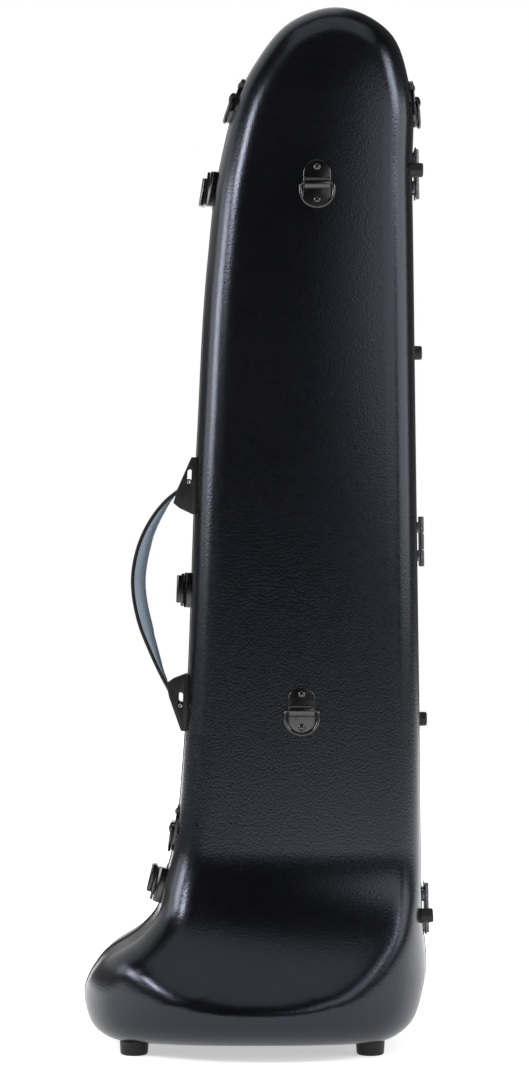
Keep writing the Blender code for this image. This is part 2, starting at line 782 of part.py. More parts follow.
def hinge_frame(height):
    share = (height - hinge_low.z) / (hinge_high.z - hinge_low.z)
    frame = Matrix((hinge_out, hinge_way.cross(hinge_out), hinge_way)).transposed().to_4x4()
    frame.translation = hinge_low.lerp(hinge_high, share)
    return frame


def hinge_leaf(name, side, sections):
    # A leaf tangent to its knuckles; the knuckles fill the given stretches of the length
    low_x = -HINGE_KNUCKLE_RADIUS
    high_x = low_x + HINGE_LEAF_THICKNESS
    inner = HINGE_KNUCKLE_RADIUS + GAP
    pieces = []
    ends = sorted((side * inner, side * HINGE_LEAF_WIDTH))
    half = HINGE_LENGTH / 2
    pieces.append(box_piece(name, (low_x, ends[0], -half), (high_x, ends[1], half), steel_black))
    for number, up in enumerate((-HINGE_RIVET_Z, HINGE_RIVET_Z)):
        pieces.append(head_on(f"{name}_rivet_{number}", (high_x, side * HINGE_RIVET_Y, up),
                              RIVET_RADIUS, RIVET_HEIGHT))
        pad_ends = sorted((side * (RIM_DEPTH + GAP * 2), side * (HINGE_LEAF_WIDTH - HINGE_LEAF_THICKNESS)))
        pieces.append(box_piece(f"{name}_pad_{number}",
                                (-hinge_standoff - CUT_OVERRUN, pad_ends[0], up - HINGE_PAD_HALF),
                                ((low_x + high_x) / 2, pad_ends[1], up + HINGE_PAD_HALF), steel_black))
    hole = circle((0.0, 0.0), HINGE_PIN_RADIUS + GAP / 2, BORE_STEPS)
    for number, (start, end) in enumerate(sections):
        knuckle = flat_piece(f"{name}_knuckle_{number}", circle((0.0, 0.0), HINGE_KNUCKLE_RADIUS),
                             end - start, steel_black, [hole])
        put(knuckle, Matrix.Translation((0.0, 0.0, (start + end) / 2)))
        web_ends = sorted((side * (HINGE_PIN_RADIUS + GAP), side * (inner + HINGE_LEAF_THICKNESS)))
        web = box_piece(f"{name}_web_{number}", (low_x, web_ends[0], start), (high_x, web_ends[1], end),
                        steel_black)
        pieces += [knuckle, web]
    return united(name, pieces)


half_hinge = HINGE_LENGTH / 2
third = HINGE_LENGTH / 6
back_leaf = hinge_leaf("hinge_leaf_back", BACK,
                       [(-half_hinge, -third - GAP / 2), (third + GAP / 2, half_hinge)])
lid_leaf = hinge_leaf("hinge_leaf_lid", LID, [(-third + GAP / 2, third - GAP / 2)])
pin = cylinder_piece("hinge_pin", HINGE_PIN_RADIUS, HINGE_LENGTH, steel_bright, BORE_STEPS)
for place, height in zip(("top", "middle", "bottom"), hinge_heights):
    frame = hinge_frame(height)
    seat_on(put(copy_of(back_leaf, f"hinge_leaf_back_{place}"), frame), BACK)
    seat_on(put(copy_of(lid_leaf, f"hinge_leaf_lid_{place}"), frame), LID)
    put(copy_of(pin, f"hinge_pin_{place}"), frame)
for plain in (back_leaf, lid_leaf, pin):
    bpy.data.objects.remove(plain, do_unlink=True)


# Latches: on the handle side the frame's Y points to the back half, so the lid is at -Y

def latch_keeper(name, frame):
    low = -CUT_OVERRUN
    outline = [(low, KEEPER_NEAR), (KEEPER_HEIGHT - BASE_THICKNESS, KEEPER_NEAR),
               (KEEPER_HEIGHT, KEEPER_NEAR + BASE_THICKNESS),
               (KEEPER_HEIGHT, CLAW_HEAD_END - GAP), (KEEPER_STEP, CLAW_HEAD_END + BASE_THICKNESS),
               (KEEPER_STEP, KEEPER_FAR), (low, KEEPER_FAR)]
    piece = put(flat_piece(name, outline, LATCH_WIDTH, steel_black), frame)
    return seat_on(piece, BACK)


stub_length = LEVER_HALF_WIDTH - EAR_OUTER + EAR_THICKNESS / 2


def latch_base(name, frame):
    low = -CUT_OVERRUN
    half = LATCH_WIDTH / 2
    floor = box_piece(name, (low, -BASE_FAR, -half), (GAP + BASE_THICKNESS, -BASE_NEAR, half), steel_black)
    pieces = [floor]
    ear_reach = EAR_LENGTH / 2
    for number, way in enumerate((-1, 1)):
        middle = (LEVER_PIVOT_X, -LEVER_PIVOT_Y)
        outline = [(GAP, middle[1] - ear_reach), (GAP, middle[1] + ear_reach)]
        outline += circle(middle, ear_reach, END_STEPS, math.pi / 2, -math.pi)
        ear = flat_piece(f"{name}_ear_{number}", outline, EAR_THICKNESS, steel_black)
        put(ear, Matrix.Translation((0.0, 0.0, way * (EAR_OUTER - EAR_THICKNESS / 2))))
        stub = cylinder_piece(f"{name}_stub_{number}", PIVOT_RADIUS, stub_length, steel_black, BORE_STEPS)
        put(stub, Matrix.Translation((*middle, way * (LEVER_HALF_WIDTH - stub_length / 2))))
        rivet = head_on(f"{name}_rivet_{number}",
                        (GAP + BASE_THICKNESS, -(LEVER_PLATE_START + BASE_FAR) / 2, way * half / 2),
                        RIVET_RADIUS, RIVET_HEIGHT)
        pieces += [ear, stub, rivet]
    piece = put(united(name, pieces), frame)
    return seat_on(piece, LID)


def latch_lever(name, frame):
    # Its origin is on the lever pin; the two cheeks stand outside the ears
    pivot = Vector((LEVER_PIVOT_X, -LEVER_PIVOT_Y, 0.0))
    claw = Vector((CLAW_PIVOT_X, -CLAW_PIVOT_Y, 0.0)) - pivot
    plate_start = -(LEVER_PLATE_START - LEVER_PIVOT_Y)
    plate_end = -(LEVER_PLATE_END - LEVER_PIVOT_Y)
    floor = LEVER_PLATE_FLOOR - LEVER_PIVOT_X
    top = LEVER_TOP - LEVER_PIVOT_X
    edge = LEVER_CHEEK
    outline = [(floor, plate_start), (top - edge, plate_start), (top, plate_start - edge),
               (top, plate_end + edge * 3), (floor + edge, plate_end), (floor, plate_end)]
    plate = flat_piece(name, outline, LEVER_HALF_WIDTH * 2, steel_black)
    pieces = [plate]
    reach = PIVOT_EYE
    cheek = [(floor + edge, plate_start - edge)]
    cheek += circle((0.0, 0.0), reach, END_STEPS, 0.0, math.pi)
    cheek += [(claw.x - reach, claw.y), (claw.x - edge, claw.y - reach), (floor, plate_start - edge)]
    holes = [circle((0.0, 0.0), PIVOT_RADIUS + GAP / 2, BORE_STEPS)]
    claw_pin = cylinder_piece(f"{name}_claw_pin", PIVOT_RADIUS, LEVER_HALF_WIDTH * 2, steel_black,
                              BORE_STEPS)
    pieces.append(put(claw_pin, Matrix.Translation(claw)))
    for number, way in enumerate((-1, 1)):
        flank = flat_piece(f"{name}_cheek_{number}", cheek, LEVER_CHEEK, steel_black, holes)
        put(flank, Matrix.Translation((0.0, 0.0, way * (LEVER_HALF_WIDTH - LEVER_CHEEK / 2))))
        pieces.append(flank)
    return put(united(name, pieces), frame, pivot)


def latch_claw(name, frame):
    # Its origin is on the claw pin
    pivot = Vector((CLAW_PIVOT_X, -CLAW_PIVOT_Y, 0.0))
    floor = KEEPER_HEIGHT + CLAW_CLEARANCE - CLAW_PIVOT_X
    top = floor + CLAW_THICKNESS
    head_start = CLAW_PIVOT_Y - CLAW_HEAD_START
    head_end = CLAW_PIVOT_Y + CLAW_HEAD_END
    head = [(floor, head_start), (top, head_start), (top, head_end - CLAW_THICKNESS),
            (top + CLAW_THICKNESS / 2, head_end), (floor, head_end)]
    neck = [(floor, 0.0), (floor, head_start + CLAW_THICKNESS), (top, head_start + CLAW_THICKNESS),
            (top, 0.0)]
    width = CLAW_NECK_HALF_WIDTH * 2
    claw = united(name, [flat_piece(name, head, CLAW_HALF_WIDTH * 2, steel_black),
                         flat_piece(f"{name}_neck", neck, width, steel_black),
                         cylinder_piece(f"{name}_eye", PIVOT_EYE, width, steel_black)])
    bore = cylinder_piece(f"{name}_bore", PIVOT_RADIUS + GAP / 2, width + CUT_OVERRUN, steel_black,
                          BORE_STEPS)
    add_boolean(claw, as_cutter(bore), "DIFFERENCE")
    return put(settled(claw), frame, pivot)


for place, height in zip(("top", "middle", "bottom"), latch_heights):
    frame = wall_frame(handle_line, -1, height)
    latch_keeper(f"latch_keeper_{place}", frame)
    latch_base(f"latch_base_{place}", frame)
    latch_lever(f"latch_lever_{place}", frame)
    latch_claw(f"latch_claw_{place}", frame)


# Handle: the strap ends in eyes round two pins, which slide in the slots of the brackets


def handle_side_place(height):
    return Vector((line_x(handle_line, height), height))


upper_wall = handle_side_place(handle_height + HANDLE_PIN_SPREAD)
lower_wall = handle_side_place(handle_height - HANDLE_PIN_SPREAD)
handle_way = (upper_wall - lower_wall).normalized()
handle_up = Vector((handle_way.x, 0.0, handle_way.y))
handle_out = Vector((-handle_way.y, 0.0, handle_way.x))
handle_frame = Matrix((handle_out, handle_up.cross(handle_out), handle_up)).transposed().to_4x4()
handle_middle = (upper_wall + lower_wall) / 2
handle_frame.translation = Vector((handle_middle.x, -HANDLE_Y, handle_middle.y)) + handle_out * HANDLE_SEAT
# Outlines drawn in the frame's X and Z are laid there by a quarter turn
lay_along = Matrix.Rotation(math.pi / 2, 4, "X")


def strap_line():
    points = []
    for along, out in STRAP_SHARES:
        reach = HANDLE_PIN_X if abs(along) == 1.0 else out * HANDLE_REACH
        points.append(Vector((reach, along * HANDLE_PIN_SPREAD)))
    start = (points[1] - points[0]).normalized()
    end = (points[-1] - points[-2]).normalized()
    return smooth_line(points, start, end)[::STRAP_KEEP]


strap_points = strap_line()


def line_sides(points, left, right):
    # The line pushed to both sides, as two lists
    rows = ([], [])
    for i, point in enumerate(points):
        way = points[min(i + 1, len(points) - 1)] - points[max(i - 1, 0)]
        normal = Vector((way.y, -way.x)).normalized()
        rows[0].append(point + normal * left)
        rows[1].append(point + normal * right)
    return rows


def handle_strap():
    half = STRAP_THICKNESS / 2
    rows = line_sides(strap_points, half, -half)
    outline = [tuple(p) for p in rows[0]] + [tuple(p) for p in reversed(rows[1])]
    pieces = [flat_piece("handle_strap", outline, STRAP_WIDTH, nylon_black)]
    for number, way in enumerate((1, -1)):
        eye = flat_piece(f"eye_{number}", circle((HANDLE_PIN_X, way * HANDLE_PIN_SPREAD),
                         HANDLE_EYE_RADIUS, TURNED_STEPS), STRAP_WIDTH, nylon_black)
        pieces.append(eye)
    strap = united("handle_strap", pieces)
    for number, way in enumerate((1, -1)):
        bore = cylinder_piece(f"eye_bore_{number}", HANDLE_PIN_RADIUS + GAP / 2, STRAP_WIDTH * 2,
                              nylon_black)
        put(bore, Matrix.Translation((HANDLE_PIN_X, way * HANDLE_PIN_SPREAD, 0.0)))
        add_boolean(strap, as_cutter(bore), "DIFFERENCE")
    strap = settled(strap)
    return put(strap, handle_frame @ lay_along)


def handle_grip():
    # A pad on the inner face of the strap, thickest in the middle
    run = len(strap_points) - 1
    stations = [run * along for along, thickness in GRIP_SHARES]
    work = bmesh.new()
    rows = []
    for position, (along, thickness) in zip(stations, GRIP_SHARES):
        index = min(int(position), run - 1)
        point = strap_points[index].lerp(strap_points[index + 1], position - index)
        way = (strap_points[index + 1] - strap_points[index]).normalized()
        normal = Vector((way.y, -way.x))
        if normal.x > 0:
            normal = -normal
        near = STRAP_THICKNESS / 2 + GAP
        far = near + thickness * GRIP_THICKNESS
        half = GRIP_WIDTH / 2
        row = []
        for angle_step in range(END_STEPS + 1):
            angle = math.pi * angle_step / END_STEPS
            out = near + (far - near) * math.sin(angle)
            place = point + normal * out
            row.append(work.verts.new((place.x, place.y, half * math.cos(angle))))
        rows.append(row)
    for lower, upper in zip(rows, rows[1:]):
        for i in range(len(lower)):
            j = (i + 1) % len(lower)
            work.faces.new((lower[i], lower[j], upper[j], upper[i]))
    work.faces.new(rows[0])
    work.faces.new(rows[-1])
    bmesh.ops.recalc_face_normals(work, faces=work.faces)
    mesh = bpy.data.meshes.new("handle_grip")
    work.to_mesh(mesh)
    work.free()
    return put(add_object("handle_grip", mesh, grip_grey), handle_frame @ lay_along)


def handle_bracket(name, way):
    # Two cheeks with slots, joined by a floor plate on the wall
    outline = []
    for along, out in BRACKET_SHARES:
        outline.append((out * BRACKET_REACH, way * (HANDLE_PIN_SPREAD + along * BRACKET_LENGTH)))
    slot_radius = HANDLE_PIN_RADIUS + SLOT_CLEARANCE
    pin_z = way * HANDLE_PIN_SPREAD
    slot = circle((HANDLE_PIN_X, pin_z + HANDLE_TRAVEL), slot_radius, END_STEPS, 0.0, math.pi)
    slot += circle((HANDLE_PIN_X, pin_z), slot_radius, END_STEPS, math.pi, math.pi)
    spread = STRAP_WIDTH / 2 + BRACKET_SIDE_GAP + BRACKET_CHEEK / 2
    ends = sorted(way * (HANDLE_PIN_SPREAD + along * BRACKET_LENGTH) for along in
                  (BRACKET_SHARES[0][0], BRACKET_SHARES[-1][0]))
    width = spread + BRACKET_CHEEK / 2
    floor = box_piece(name, (-CUT_OVERRUN * 2, ends[0], -width), (GAP + BRACKET_FLOOR, ends[1], width),
                      nylon_black)
    pieces = [floor]
    for number, face in enumerate((-1, 1)):
        cheek = flat_piece(f"{name}_cheek_{number}", outline, BRACKET_CHEEK, nylon_black, [slot])
        pieces.append(put(cheek, Matrix.Translation((0.0, 0.0, face * spread))))
    for number, along in enumerate(BRACKET_SCREW_SHARES):
        screw = dome_head(f"{name}_screw_{number}", RIVET_RADIUS, RIVET_HEIGHT + GAP, steel_black)
        seat = (BRACKET_FLOOR, way * (HANDLE_PIN_SPREAD + along * BRACKET_LENGTH), 0.0)
        pieces.append(put(screw, Matrix.Translation(seat) @ Matrix.Rotation(math.pi / 2, 4, "Y")))
    piece = put(united(name, pieces), handle_frame @ lay_along)
    return seat_on(piece, BACK)


handle_strap()
handle_grip()
handle_bracket("handle_bracket_upper", 1)
handle_bracket("handle_bracket_lower", -1)
pin_length = STRAP_WIDTH + (BRACKET_SIDE_GAP + BRACKET_CHEEK) * 2
for label, way in (("upper", 1), ("lower", -1)):
    pin = cylinder_piece(f"handle_pin_{label}", HANDLE_PIN_RADIUS, pin_length, steel_bright)
    put(pin, handle_frame @ lay_along, (HANDLE_PIN_X, way * HANDLE_PIN_SPREAD, 0.0))


# D-rings: the ring's bar runs through the bridge of its plate

bar_height = DEE_PLATE_THICKNESS + GAP + DEE_WIRE_RADIUS


def dee_plate(name, frame):
    # Plate in the frame's Y and Z, bridge across Y
    half = DEE_PLATE_WIDTH / 2
    run = DEE_PLATE_LENGTH / 2 - half
    outline = circle((0.0, run), half, BORE_STEPS, 0.0, math.pi)
    outline += circle((0.0, -run), half, BORE_STEPS, math.pi, math.pi)
    thick = DEE_PLATE_THICKNESS + CUT_OVERRUN
    plate = flat_piece(name, outline, thick, steel_black)
    turn = Matrix(((0, 0, 1, 0), (1, 0, 0, 0), (0, 1, 0, 0), (0, 0, 0, 1)))
    put(plate, turn, (0.0, 0.0, DEE_PLATE_THICKNESS - thick / 2))
    plate.data.transform(plate.matrix_world)
    plate.matrix_world = Matrix.Identity(4)
    reach = DEE_BRIDGE_LENGTH / 2
    saddle = [(DEE_PLATE_THICKNESS / 2, -reach), (bar_height, -reach), (DEE_BRIDGE_HEIGHT, -reach / 2),
              (DEE_BRIDGE_HEIGHT, reach / 2), (bar_height, reach), (DEE_PLATE_THICKNESS / 2, reach)]
    bore = circle((bar_height, 0.0), DEE_WIRE_RADIUS + DEE_BAR_CLEARANCE)
    bridge = flat_piece(f"{name}_bridge", saddle, DEE_PLATE_WIDTH * DEE_BRIDGE_SHARE, steel_black, [bore])
    bridge.data.transform(Matrix.Rotation(math.pi / 2, 4, "X"))
    pieces = [plate, bridge]
    for number, way in enumerate((-1, 1)):
        seat = (DEE_PLATE_THICKNESS, 0.0, way * DEE_SCREW_SPREAD)
        pieces.append(head_on(f"{name}_screw_{number}", seat, SCREW_RADIUS, SCREW_HEIGHT))
    return put(united(name, pieces), frame)


def dee_ring(name, frame):
    # Its origin is on the bar; at rest it hangs against its plate
    curve = bpy.data.curves.new(name, "CURVE")
    curve.dimensions = "3D"
    curve.bevel_depth = DEE_WIRE_RADIUS
    curve.bevel_resolution = 1
    spline = curve.splines.new("POLY")
    bow = DEE_HALF_WIDTH
    straight = DEE_DROP - bow
    points = [(0.0, bow, 0.0), (0.0, bow, -straight)]
    points += [(0.0, y, z - straight) for y, z in circle((0.0, 0.0), bow, BORE_STEPS, 0.0, -math.pi)[1:-1]]
    points += [(0.0, -bow, -straight), (0.0, -bow, 0.0)]
    spline.points.add(len(points) - 1)
    spline.use_cyclic_u = True
    for point, place in zip(spline.points, points):
        point.co = (*place, 1.0)
    piece = bpy.data.objects.new(name, curve)
    parts.objects.link(piece)
    curve.materials.append(steel_black)
    return put(settled(piece), frame, (bar_height, 0.0, 0.0))


def face_frame(x, z):
    # X points out of the back panel, Y across it, Z up along it
    step = DEE_PLATE_LENGTH / 2
    across_low = Vector((x - step, -panel_depth(x - step, z), z))
    across_high = Vector((x + step, -panel_depth(x + step, z), z))
    up_low = Vector((x, -panel_depth(x, z - step), z - step))
    up_high = Vector((x, -panel_depth(x, z + step), z + step))
    up = (up_high - up_low).normalized()
    out = (across_high - across_low).cross(up).normalized()
    if out.y > 0:
        out = -out
    frame = Matrix((out, up.cross(out), up)).transposed().to_4x4()
    frame.translation = Vector((x, -panel_depth(x, z), z))
    return frame


dee_places = {}
for place, (across, up) in zip(("upper", "lower"), DEE_FACE_SHARES):
    dee_places[f"face_{place}"] = face_frame(across * SHELL_WIDTH, height_at(up))
for place, up in zip(("upper", "lower"), DEE_HANDLE_SIDE_SHARES):
    dee_places[f"handle_side_{place}"] = wall_frame(handle_line, -1, height_at(up), -DEE_SIDE_Y)
dee_places["hinge_side"] = wall_frame(hinge_line, 1, height_at(DEE_HINGE_SIDE_SHARE), -DEE_SIDE_Y)
for label, frame in dee_places.items():
    seat_on(dee_plate(f"dee_plate_{label}", frame), BACK)
    dee_ring(f"dee_ring_{label}", frame)


# Feet

def foot(name, radius, length, edge, frame, side):
    # A rubber foot along the frame's Z, whose root reaches into the shell and is cut to it
    profile = ((0.0, length), (radius - edge, length), (radius, length - edge), (radius, -CUT_OVERRUN * 2),
               (0.0, -CUT_OVERRUN * 2))
    piece = turned_piece(name, profile, rubber_black, FOOT_STEPS)
    piece.matrix_world = frame
    return seat_on(piece, side)


for side in (BACK, LID):
    label = side_name(side)
    for place, across in zip(("handle_side", "hinge_side"), FOOT_ACROSS_SHARES):
        seat = Vector((across * SHELL_WIDTH, side * FOOT_Y, FOOT_HEIGHT))
        frame = Matrix.Translation(seat) @ Matrix.Rotation(math.pi, 4, "X")
        foot(f"base_foot_{label}_{place}", FOOT_RADIUS, FOOT_HEIGHT, FOOT_EDGE, frame, side)
    shares = SIDE_FOOT_BACK_SHARES if side == BACK else SIDE_FOOT_LID_SHARES
    for place, up in zip(("upper", "lower"), shares):
        frame = wall_frame(hinge_line, 1, height_at(up), side * SIDE_FOOT_Y)
        frame = frame @ Matrix.Rotation(math.pi / 2, 4, "Y")
        foot(f"side_foot_{label}_{place}", SIDE_FOOT_RADIUS, SIDE_FOOT_LENGTH, SIDE_FOOT_EDGE, frame, side)

bpy.context.view_layer.update()
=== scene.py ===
import json
import math

import bmesh
import bpy
from mathutils import Matrix, Vector, noise


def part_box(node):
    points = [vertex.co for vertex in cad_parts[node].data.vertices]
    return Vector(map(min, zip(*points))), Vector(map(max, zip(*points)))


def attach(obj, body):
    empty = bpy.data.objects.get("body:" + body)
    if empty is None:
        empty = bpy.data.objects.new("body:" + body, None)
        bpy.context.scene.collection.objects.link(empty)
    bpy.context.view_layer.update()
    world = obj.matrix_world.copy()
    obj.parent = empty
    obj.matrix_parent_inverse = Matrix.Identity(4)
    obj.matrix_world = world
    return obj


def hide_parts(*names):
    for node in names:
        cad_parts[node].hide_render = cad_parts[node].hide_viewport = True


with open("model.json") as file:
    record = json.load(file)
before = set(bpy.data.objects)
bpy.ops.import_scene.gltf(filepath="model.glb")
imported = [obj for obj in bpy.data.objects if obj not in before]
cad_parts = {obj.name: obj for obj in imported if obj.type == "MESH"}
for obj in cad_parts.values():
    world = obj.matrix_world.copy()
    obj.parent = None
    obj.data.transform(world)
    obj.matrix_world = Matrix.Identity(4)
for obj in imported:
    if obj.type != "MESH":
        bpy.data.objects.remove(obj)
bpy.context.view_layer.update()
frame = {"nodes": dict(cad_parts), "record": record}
nodes = frame["nodes"]
bodyOf = {}
for body, members in frame["record"]["behaviour"]["bodies"].items():
    for member in members:
        bodyOf[member] = body
print("frame loaded,", len(nodes), "nodes")

back = -1
lid = 1
halves = ((back, "back"), (lid, "lid"))
levels = ("top", "middle", "bottom")
unmoved = Matrix.Identity(4)


# Nodes and colours

def srgb(hexColour):
    # Turns an sRGB hex value to the linear colour that shaders take
    parts = []
    for start in (1, 3, 5):
        part = int(hexColour[start:start + 2], 16) / 255
        parts.append(part / 12.92 if part <= 0.04045 else ((part + 0.055) / 1.055) ** 2.4)
    return (*parts, 1.0)


def addNode(tree, kind, settings=None, links=None):
    node = tree.nodes.new(kind)
    for name, value in (settings or {}).items():
        if isinstance(name, int) or name in node.inputs:
            node.inputs[name].default_value = value
        else:
            setattr(node, name, value)
    for name, socket in (links or {}).items():
        tree.links.new(socket, node.inputs[name])
    return node


def perMm(size):
    # Texture scale for a pattern whose repeat is this many millimetres
    return 1000 / size


def newMaterial(name, sockets):
    # Sets the shader's constants, and gives the place in the object that patterns follow
    material = bpy.data.materials.new(name)
    material.use_nodes = True
    tree = material.node_tree
    shader = tree.nodes["Principled BSDF"]
    for socket, value in sockets.items():
        shader.inputs[socket].default_value = value
    place = addNode(tree, "ShaderNodeTexCoord").outputs["Object"]
    return material, tree, shader, place


def cover(tree, shader, finish, tone, relief, wear=None):
    # What finishes share: a colour from shade to bloom, a relief, and most have a roughness that wears
    colour = addNode(tree, "ShaderNodeMix", {
        "data_type": "RGBA", 6: srgb(finish["shade"]), 7: srgb(finish["bloom"])}, {"Factor": tone})
    bump = addNode(tree, "ShaderNodeBump", {
        "Strength": finish["reliefStrength"], "Distance": finish["reliefMm"] / 1000}, {"Height": relief})
    tree.links.new(colour.outputs[2], shader.inputs["Base Color"])
    tree.links.new(bump.outputs["Normal"], shader.inputs["Normal"])
    if wear:
        smoothest, roughest = finish["roughness"]
        rough = addNode(tree, "ShaderNodeMapRange", {"To Min": smoothest, "To Max": roughest},
                        {"Value": wear})
        tree.links.new(rough.outputs["Result"], shader.inputs["Roughness"])


# Vacuum-formed ABS with a leather grain: near black, a satin sheen broken up by fine pebbles
mouldedAbs = {
    "shade": "#050507", "bloom": "#0a0a0e", "roughness": (0.16, 0.29),
    "sockets": {"Specular IOR Level": 0.5, "Specular Tint": srgb("#d1d8ee")},
    "grainMm": 2.0,        # the real pebbles are near 0.9 mm, drawn coarser so that they show
    "pebbleFoot": 0.95, "pebbleTop": 0.10, "reliefMm": 0.09, "reliefStrength": 0.46,
    "bloomMm": 180, "bloomFrom": 0.35, "bloomTo": 0.75, "scuffMm": 7,
}


def makeMouldedAbs():
    finish = mouldedAbs
    material, tree, shader, place = newMaterial("vacuum_formed_abs", finish["sockets"])
    pebbles = addNode(tree, "ShaderNodeTexVoronoi", {
        "feature": "F1", "Scale": perMm(finish["grainMm"])}, {"Vector": place})
    hills = addNode(tree, "ShaderNodeMapRange", {
        "interpolation_type": "SMOOTHSTEP", "From Min": finish["pebbleFoot"],
        "From Max": finish["pebbleTop"]}, {"Value": pebbles.outputs["Distance"]})
    bloom = addNode(tree, "ShaderNodeTexNoise", {
        "Scale": perMm(finish["bloomMm"]), "Detail": 4.0, "Roughness": 0.55}, {"Vector": place})
    scuff = addNode(tree, "ShaderNodeTexNoise", {
        "Scale": perMm(finish["scuffMm"]), "Detail": 5.0, "Roughness": 0.7}, {"Vector": place})
    tone = addNode(tree, "ShaderNodeMapRange", {
        "From Min": finish["bloomFrom"], "From Max": finish["bloomTo"]}, {"Value": bloom.outputs["Fac"]})
    cover(tree, shader, finish, tone.outputs["Result"], hills.outputs["Result"], scuff.outputs["Fac"])
    return material


# Injection-moulded nylon: darker and duller than the shell, with the fine pits of a spark-eroded mould.
# In it and the next two the real pits are near 0.2 mm, and are drawn coarser so that they show.
mouldedNylon = {
    "shade": "#070709", "bloom": "#0f0f12", "roughness": (0.35, 0.51),
    "sockets": {"Specular IOR Level": 0.28},
    "skinMm": 0.9, "reliefMm": 0.05, "reliefStrength": 0.3, "bloomMm": 22,
}
# Compression-moulded rubber: as black as the nylon and flatter, with a faint dusty bloom
mouldedRubber = {
    "shade": "#08080a", "bloom": "#101012", "roughness": (0.38, 0.54),
    "sockets": {"Specular IOR Level": 0.32},
    "skinMm": 1.3, "reliefMm": 0.06, "reliefStrength": 0.3, "bloomMm": 15,
}
# Injection-moulded thermoplastic rubber for the grip: blue grey, smooth and faintly dusty
softGrip = {
    "shade": "#5c6a75", "bloom": "#6d7b86", "roughness": (0.43, 0.59),
    "sockets": {"Specular IOR Level": 0.5},
    "skinMm": 0.7, "reliefMm": 0.03, "reliefStrength": 0.3, "bloomMm": 30,
}


def makeMoulded(name, finish):
    material, tree, shader, place = newMaterial(name, finish["sockets"])
    skin = addNode(tree, "ShaderNodeTexNoise", {
        "Scale": perMm(finish["skinMm"]), "Detail": 2.0, "Roughness": 0.6}, {"Vector": place})
    bloom = addNode(tree, "ShaderNodeTexNoise", {
        "Scale": perMm(finish["bloomMm"]), "Detail": 5.0, "Roughness": 0.6}, {"Vector": place})
    cover(tree, shader, finish, bloom.outputs["Fac"], skin.outputs["Fac"], bloom.outputs["Fac"])
    return material


# Stamped steel with a black electrocoat: a deep black lacquer with crisp glints along every edge
blackSteel = {
    "shade": "#030304", "bloom": "#08080a", "roughness": (0.14, 0.32),
    "sockets": {"Coat Weight": 0.3, "Coat Roughness": 0.08},
    "markMm": 2.5, "reliefMm": 0.02, "reliefStrength": 0.2, "bloomMm": 9,
}
# Rolled steel with black nickel plating: a smoky grey mirror, paler than the lacquer beside it
blackNickel = {
    "shade": "#454549", "bloom": "#5a5a5f", "roughness": (0.24, 0.42), "sockets": {"Metallic": 1.0},
    "markMm": 2.5, "reliefMm": 0.02, "reliefStrength": 0.2, "bloomMm": 9,
}
# Turned steel with nickel plating: bright, slightly warm
nickelSteel = {
    "shade": "#b4b3b1", "bloom": "#cfcdc9", "roughness": (0.28, 0.46), "sockets": {"Metallic": 1.0},
    "markMm": 1.5, "reliefMm": 0.015, "reliefStrength": 0.2, "bloomMm": 6,
}


def makePlated(name, finish):
    material, tree, shader, place = newMaterial(name, finish["sockets"])
    marks = addNode(tree, "ShaderNodeTexNoise", {
        "Scale": perMm(finish["markMm"]), "Detail": 4.0, "Roughness": 0.65, "Distortion": 0.6},
        {"Vector": place})
    bloom = addNode(tree, "ShaderNodeTexNoise", {
        "Scale": perMm(finish["bloomMm"]), "Detail": 6.0, "Roughness": 0.6}, {"Vector": place})
    cover(tree, shader, finish, bloom.outputs["Fac"], marks.outputs["Fac"], marks.outputs["Fac"])
    return material


# Flocked plush over foam: deep black with a soft pale bloom at grazing angles and brushed patches
blackPlush = {
    "shade": "#09090b", "bloom": "#1c1c21",
    "sockets": {"Roughness": 0.95, "Sheen Weight": 0.5, "Sheen Roughness": 0.4},
    "pileMm": 1.4,         # the real tufts are near 0.5 mm, drawn coarser so that they show
    "reliefMm": 0.5, "reliefStrength": 0.6, "brushMm": 26, "bloomFrom": 0.12, "bloomTo": 0.42,
}


def makePlush():
    finish = blackPlush
    material, tree, shader, place = newMaterial("flocked_plush", finish["sockets"])
    pile = addNode(tree, "ShaderNodeTexNoise", {
        "Scale": perMm(finish["pileMm"]), "Detail": 3.0, "Roughness": 0.7}, {"Vector": place})
    brushed = addNode(tree, "ShaderNodeTexNoise", {
        "Scale": perMm(finish["brushMm"]), "Detail": 3.0, "Roughness": 0.5, "Distortion": 1.5},
        {"Vector": place})
    both = addNode(tree, "ShaderNodeMath", {"operation": "MULTIPLY"},
                   {0: pile.outputs["Fac"], 1: brushed.outputs["Fac"]})
    tone = addNode(tree, "ShaderNodeMapRange", {
        "From Min": finish["bloomFrom"], "From Max": finish["bloomTo"]}, {"Value": both.outputs["Value"]})
    cover(tree, shader, finish, tone.outputs["Result"], pile.outputs["Fac"])
    return material


finishes = {
    "moulded_shell": makeMouldedAbs(),
    "black_nylon": makeMoulded("moulded_nylon", mouldedNylon),
    "black_rubber": makeMoulded("moulded_rubber", mouldedRubber),
    "grey_grip": makeMoulded("soft_grip_rubber", softGrip),
    "blackened_steel": makePlated("black_plated_steel", blackSteel),
    "black_nickel": makePlated("black_nickel_plated_steel", blackNickel),
    "nickel_steel": makePlated("nickel_plated_steel", nickelSteel),
    "black_plush": makePlush(),
}
print("materials made:", len(finishes))


# Making meshes

# Folds sharper than these stay crisp in the shading, for each way of making
creases = {"stamped": math.radians(38), "strap": math.radians(50), "moulded": math.radians(60),
           "plush": math.radians(80)}
flatAngle = math.radians(1)      # faces that meet more flatly than this become one
bevelAngle = math.radians(35)    # edges sharper than this are rounded


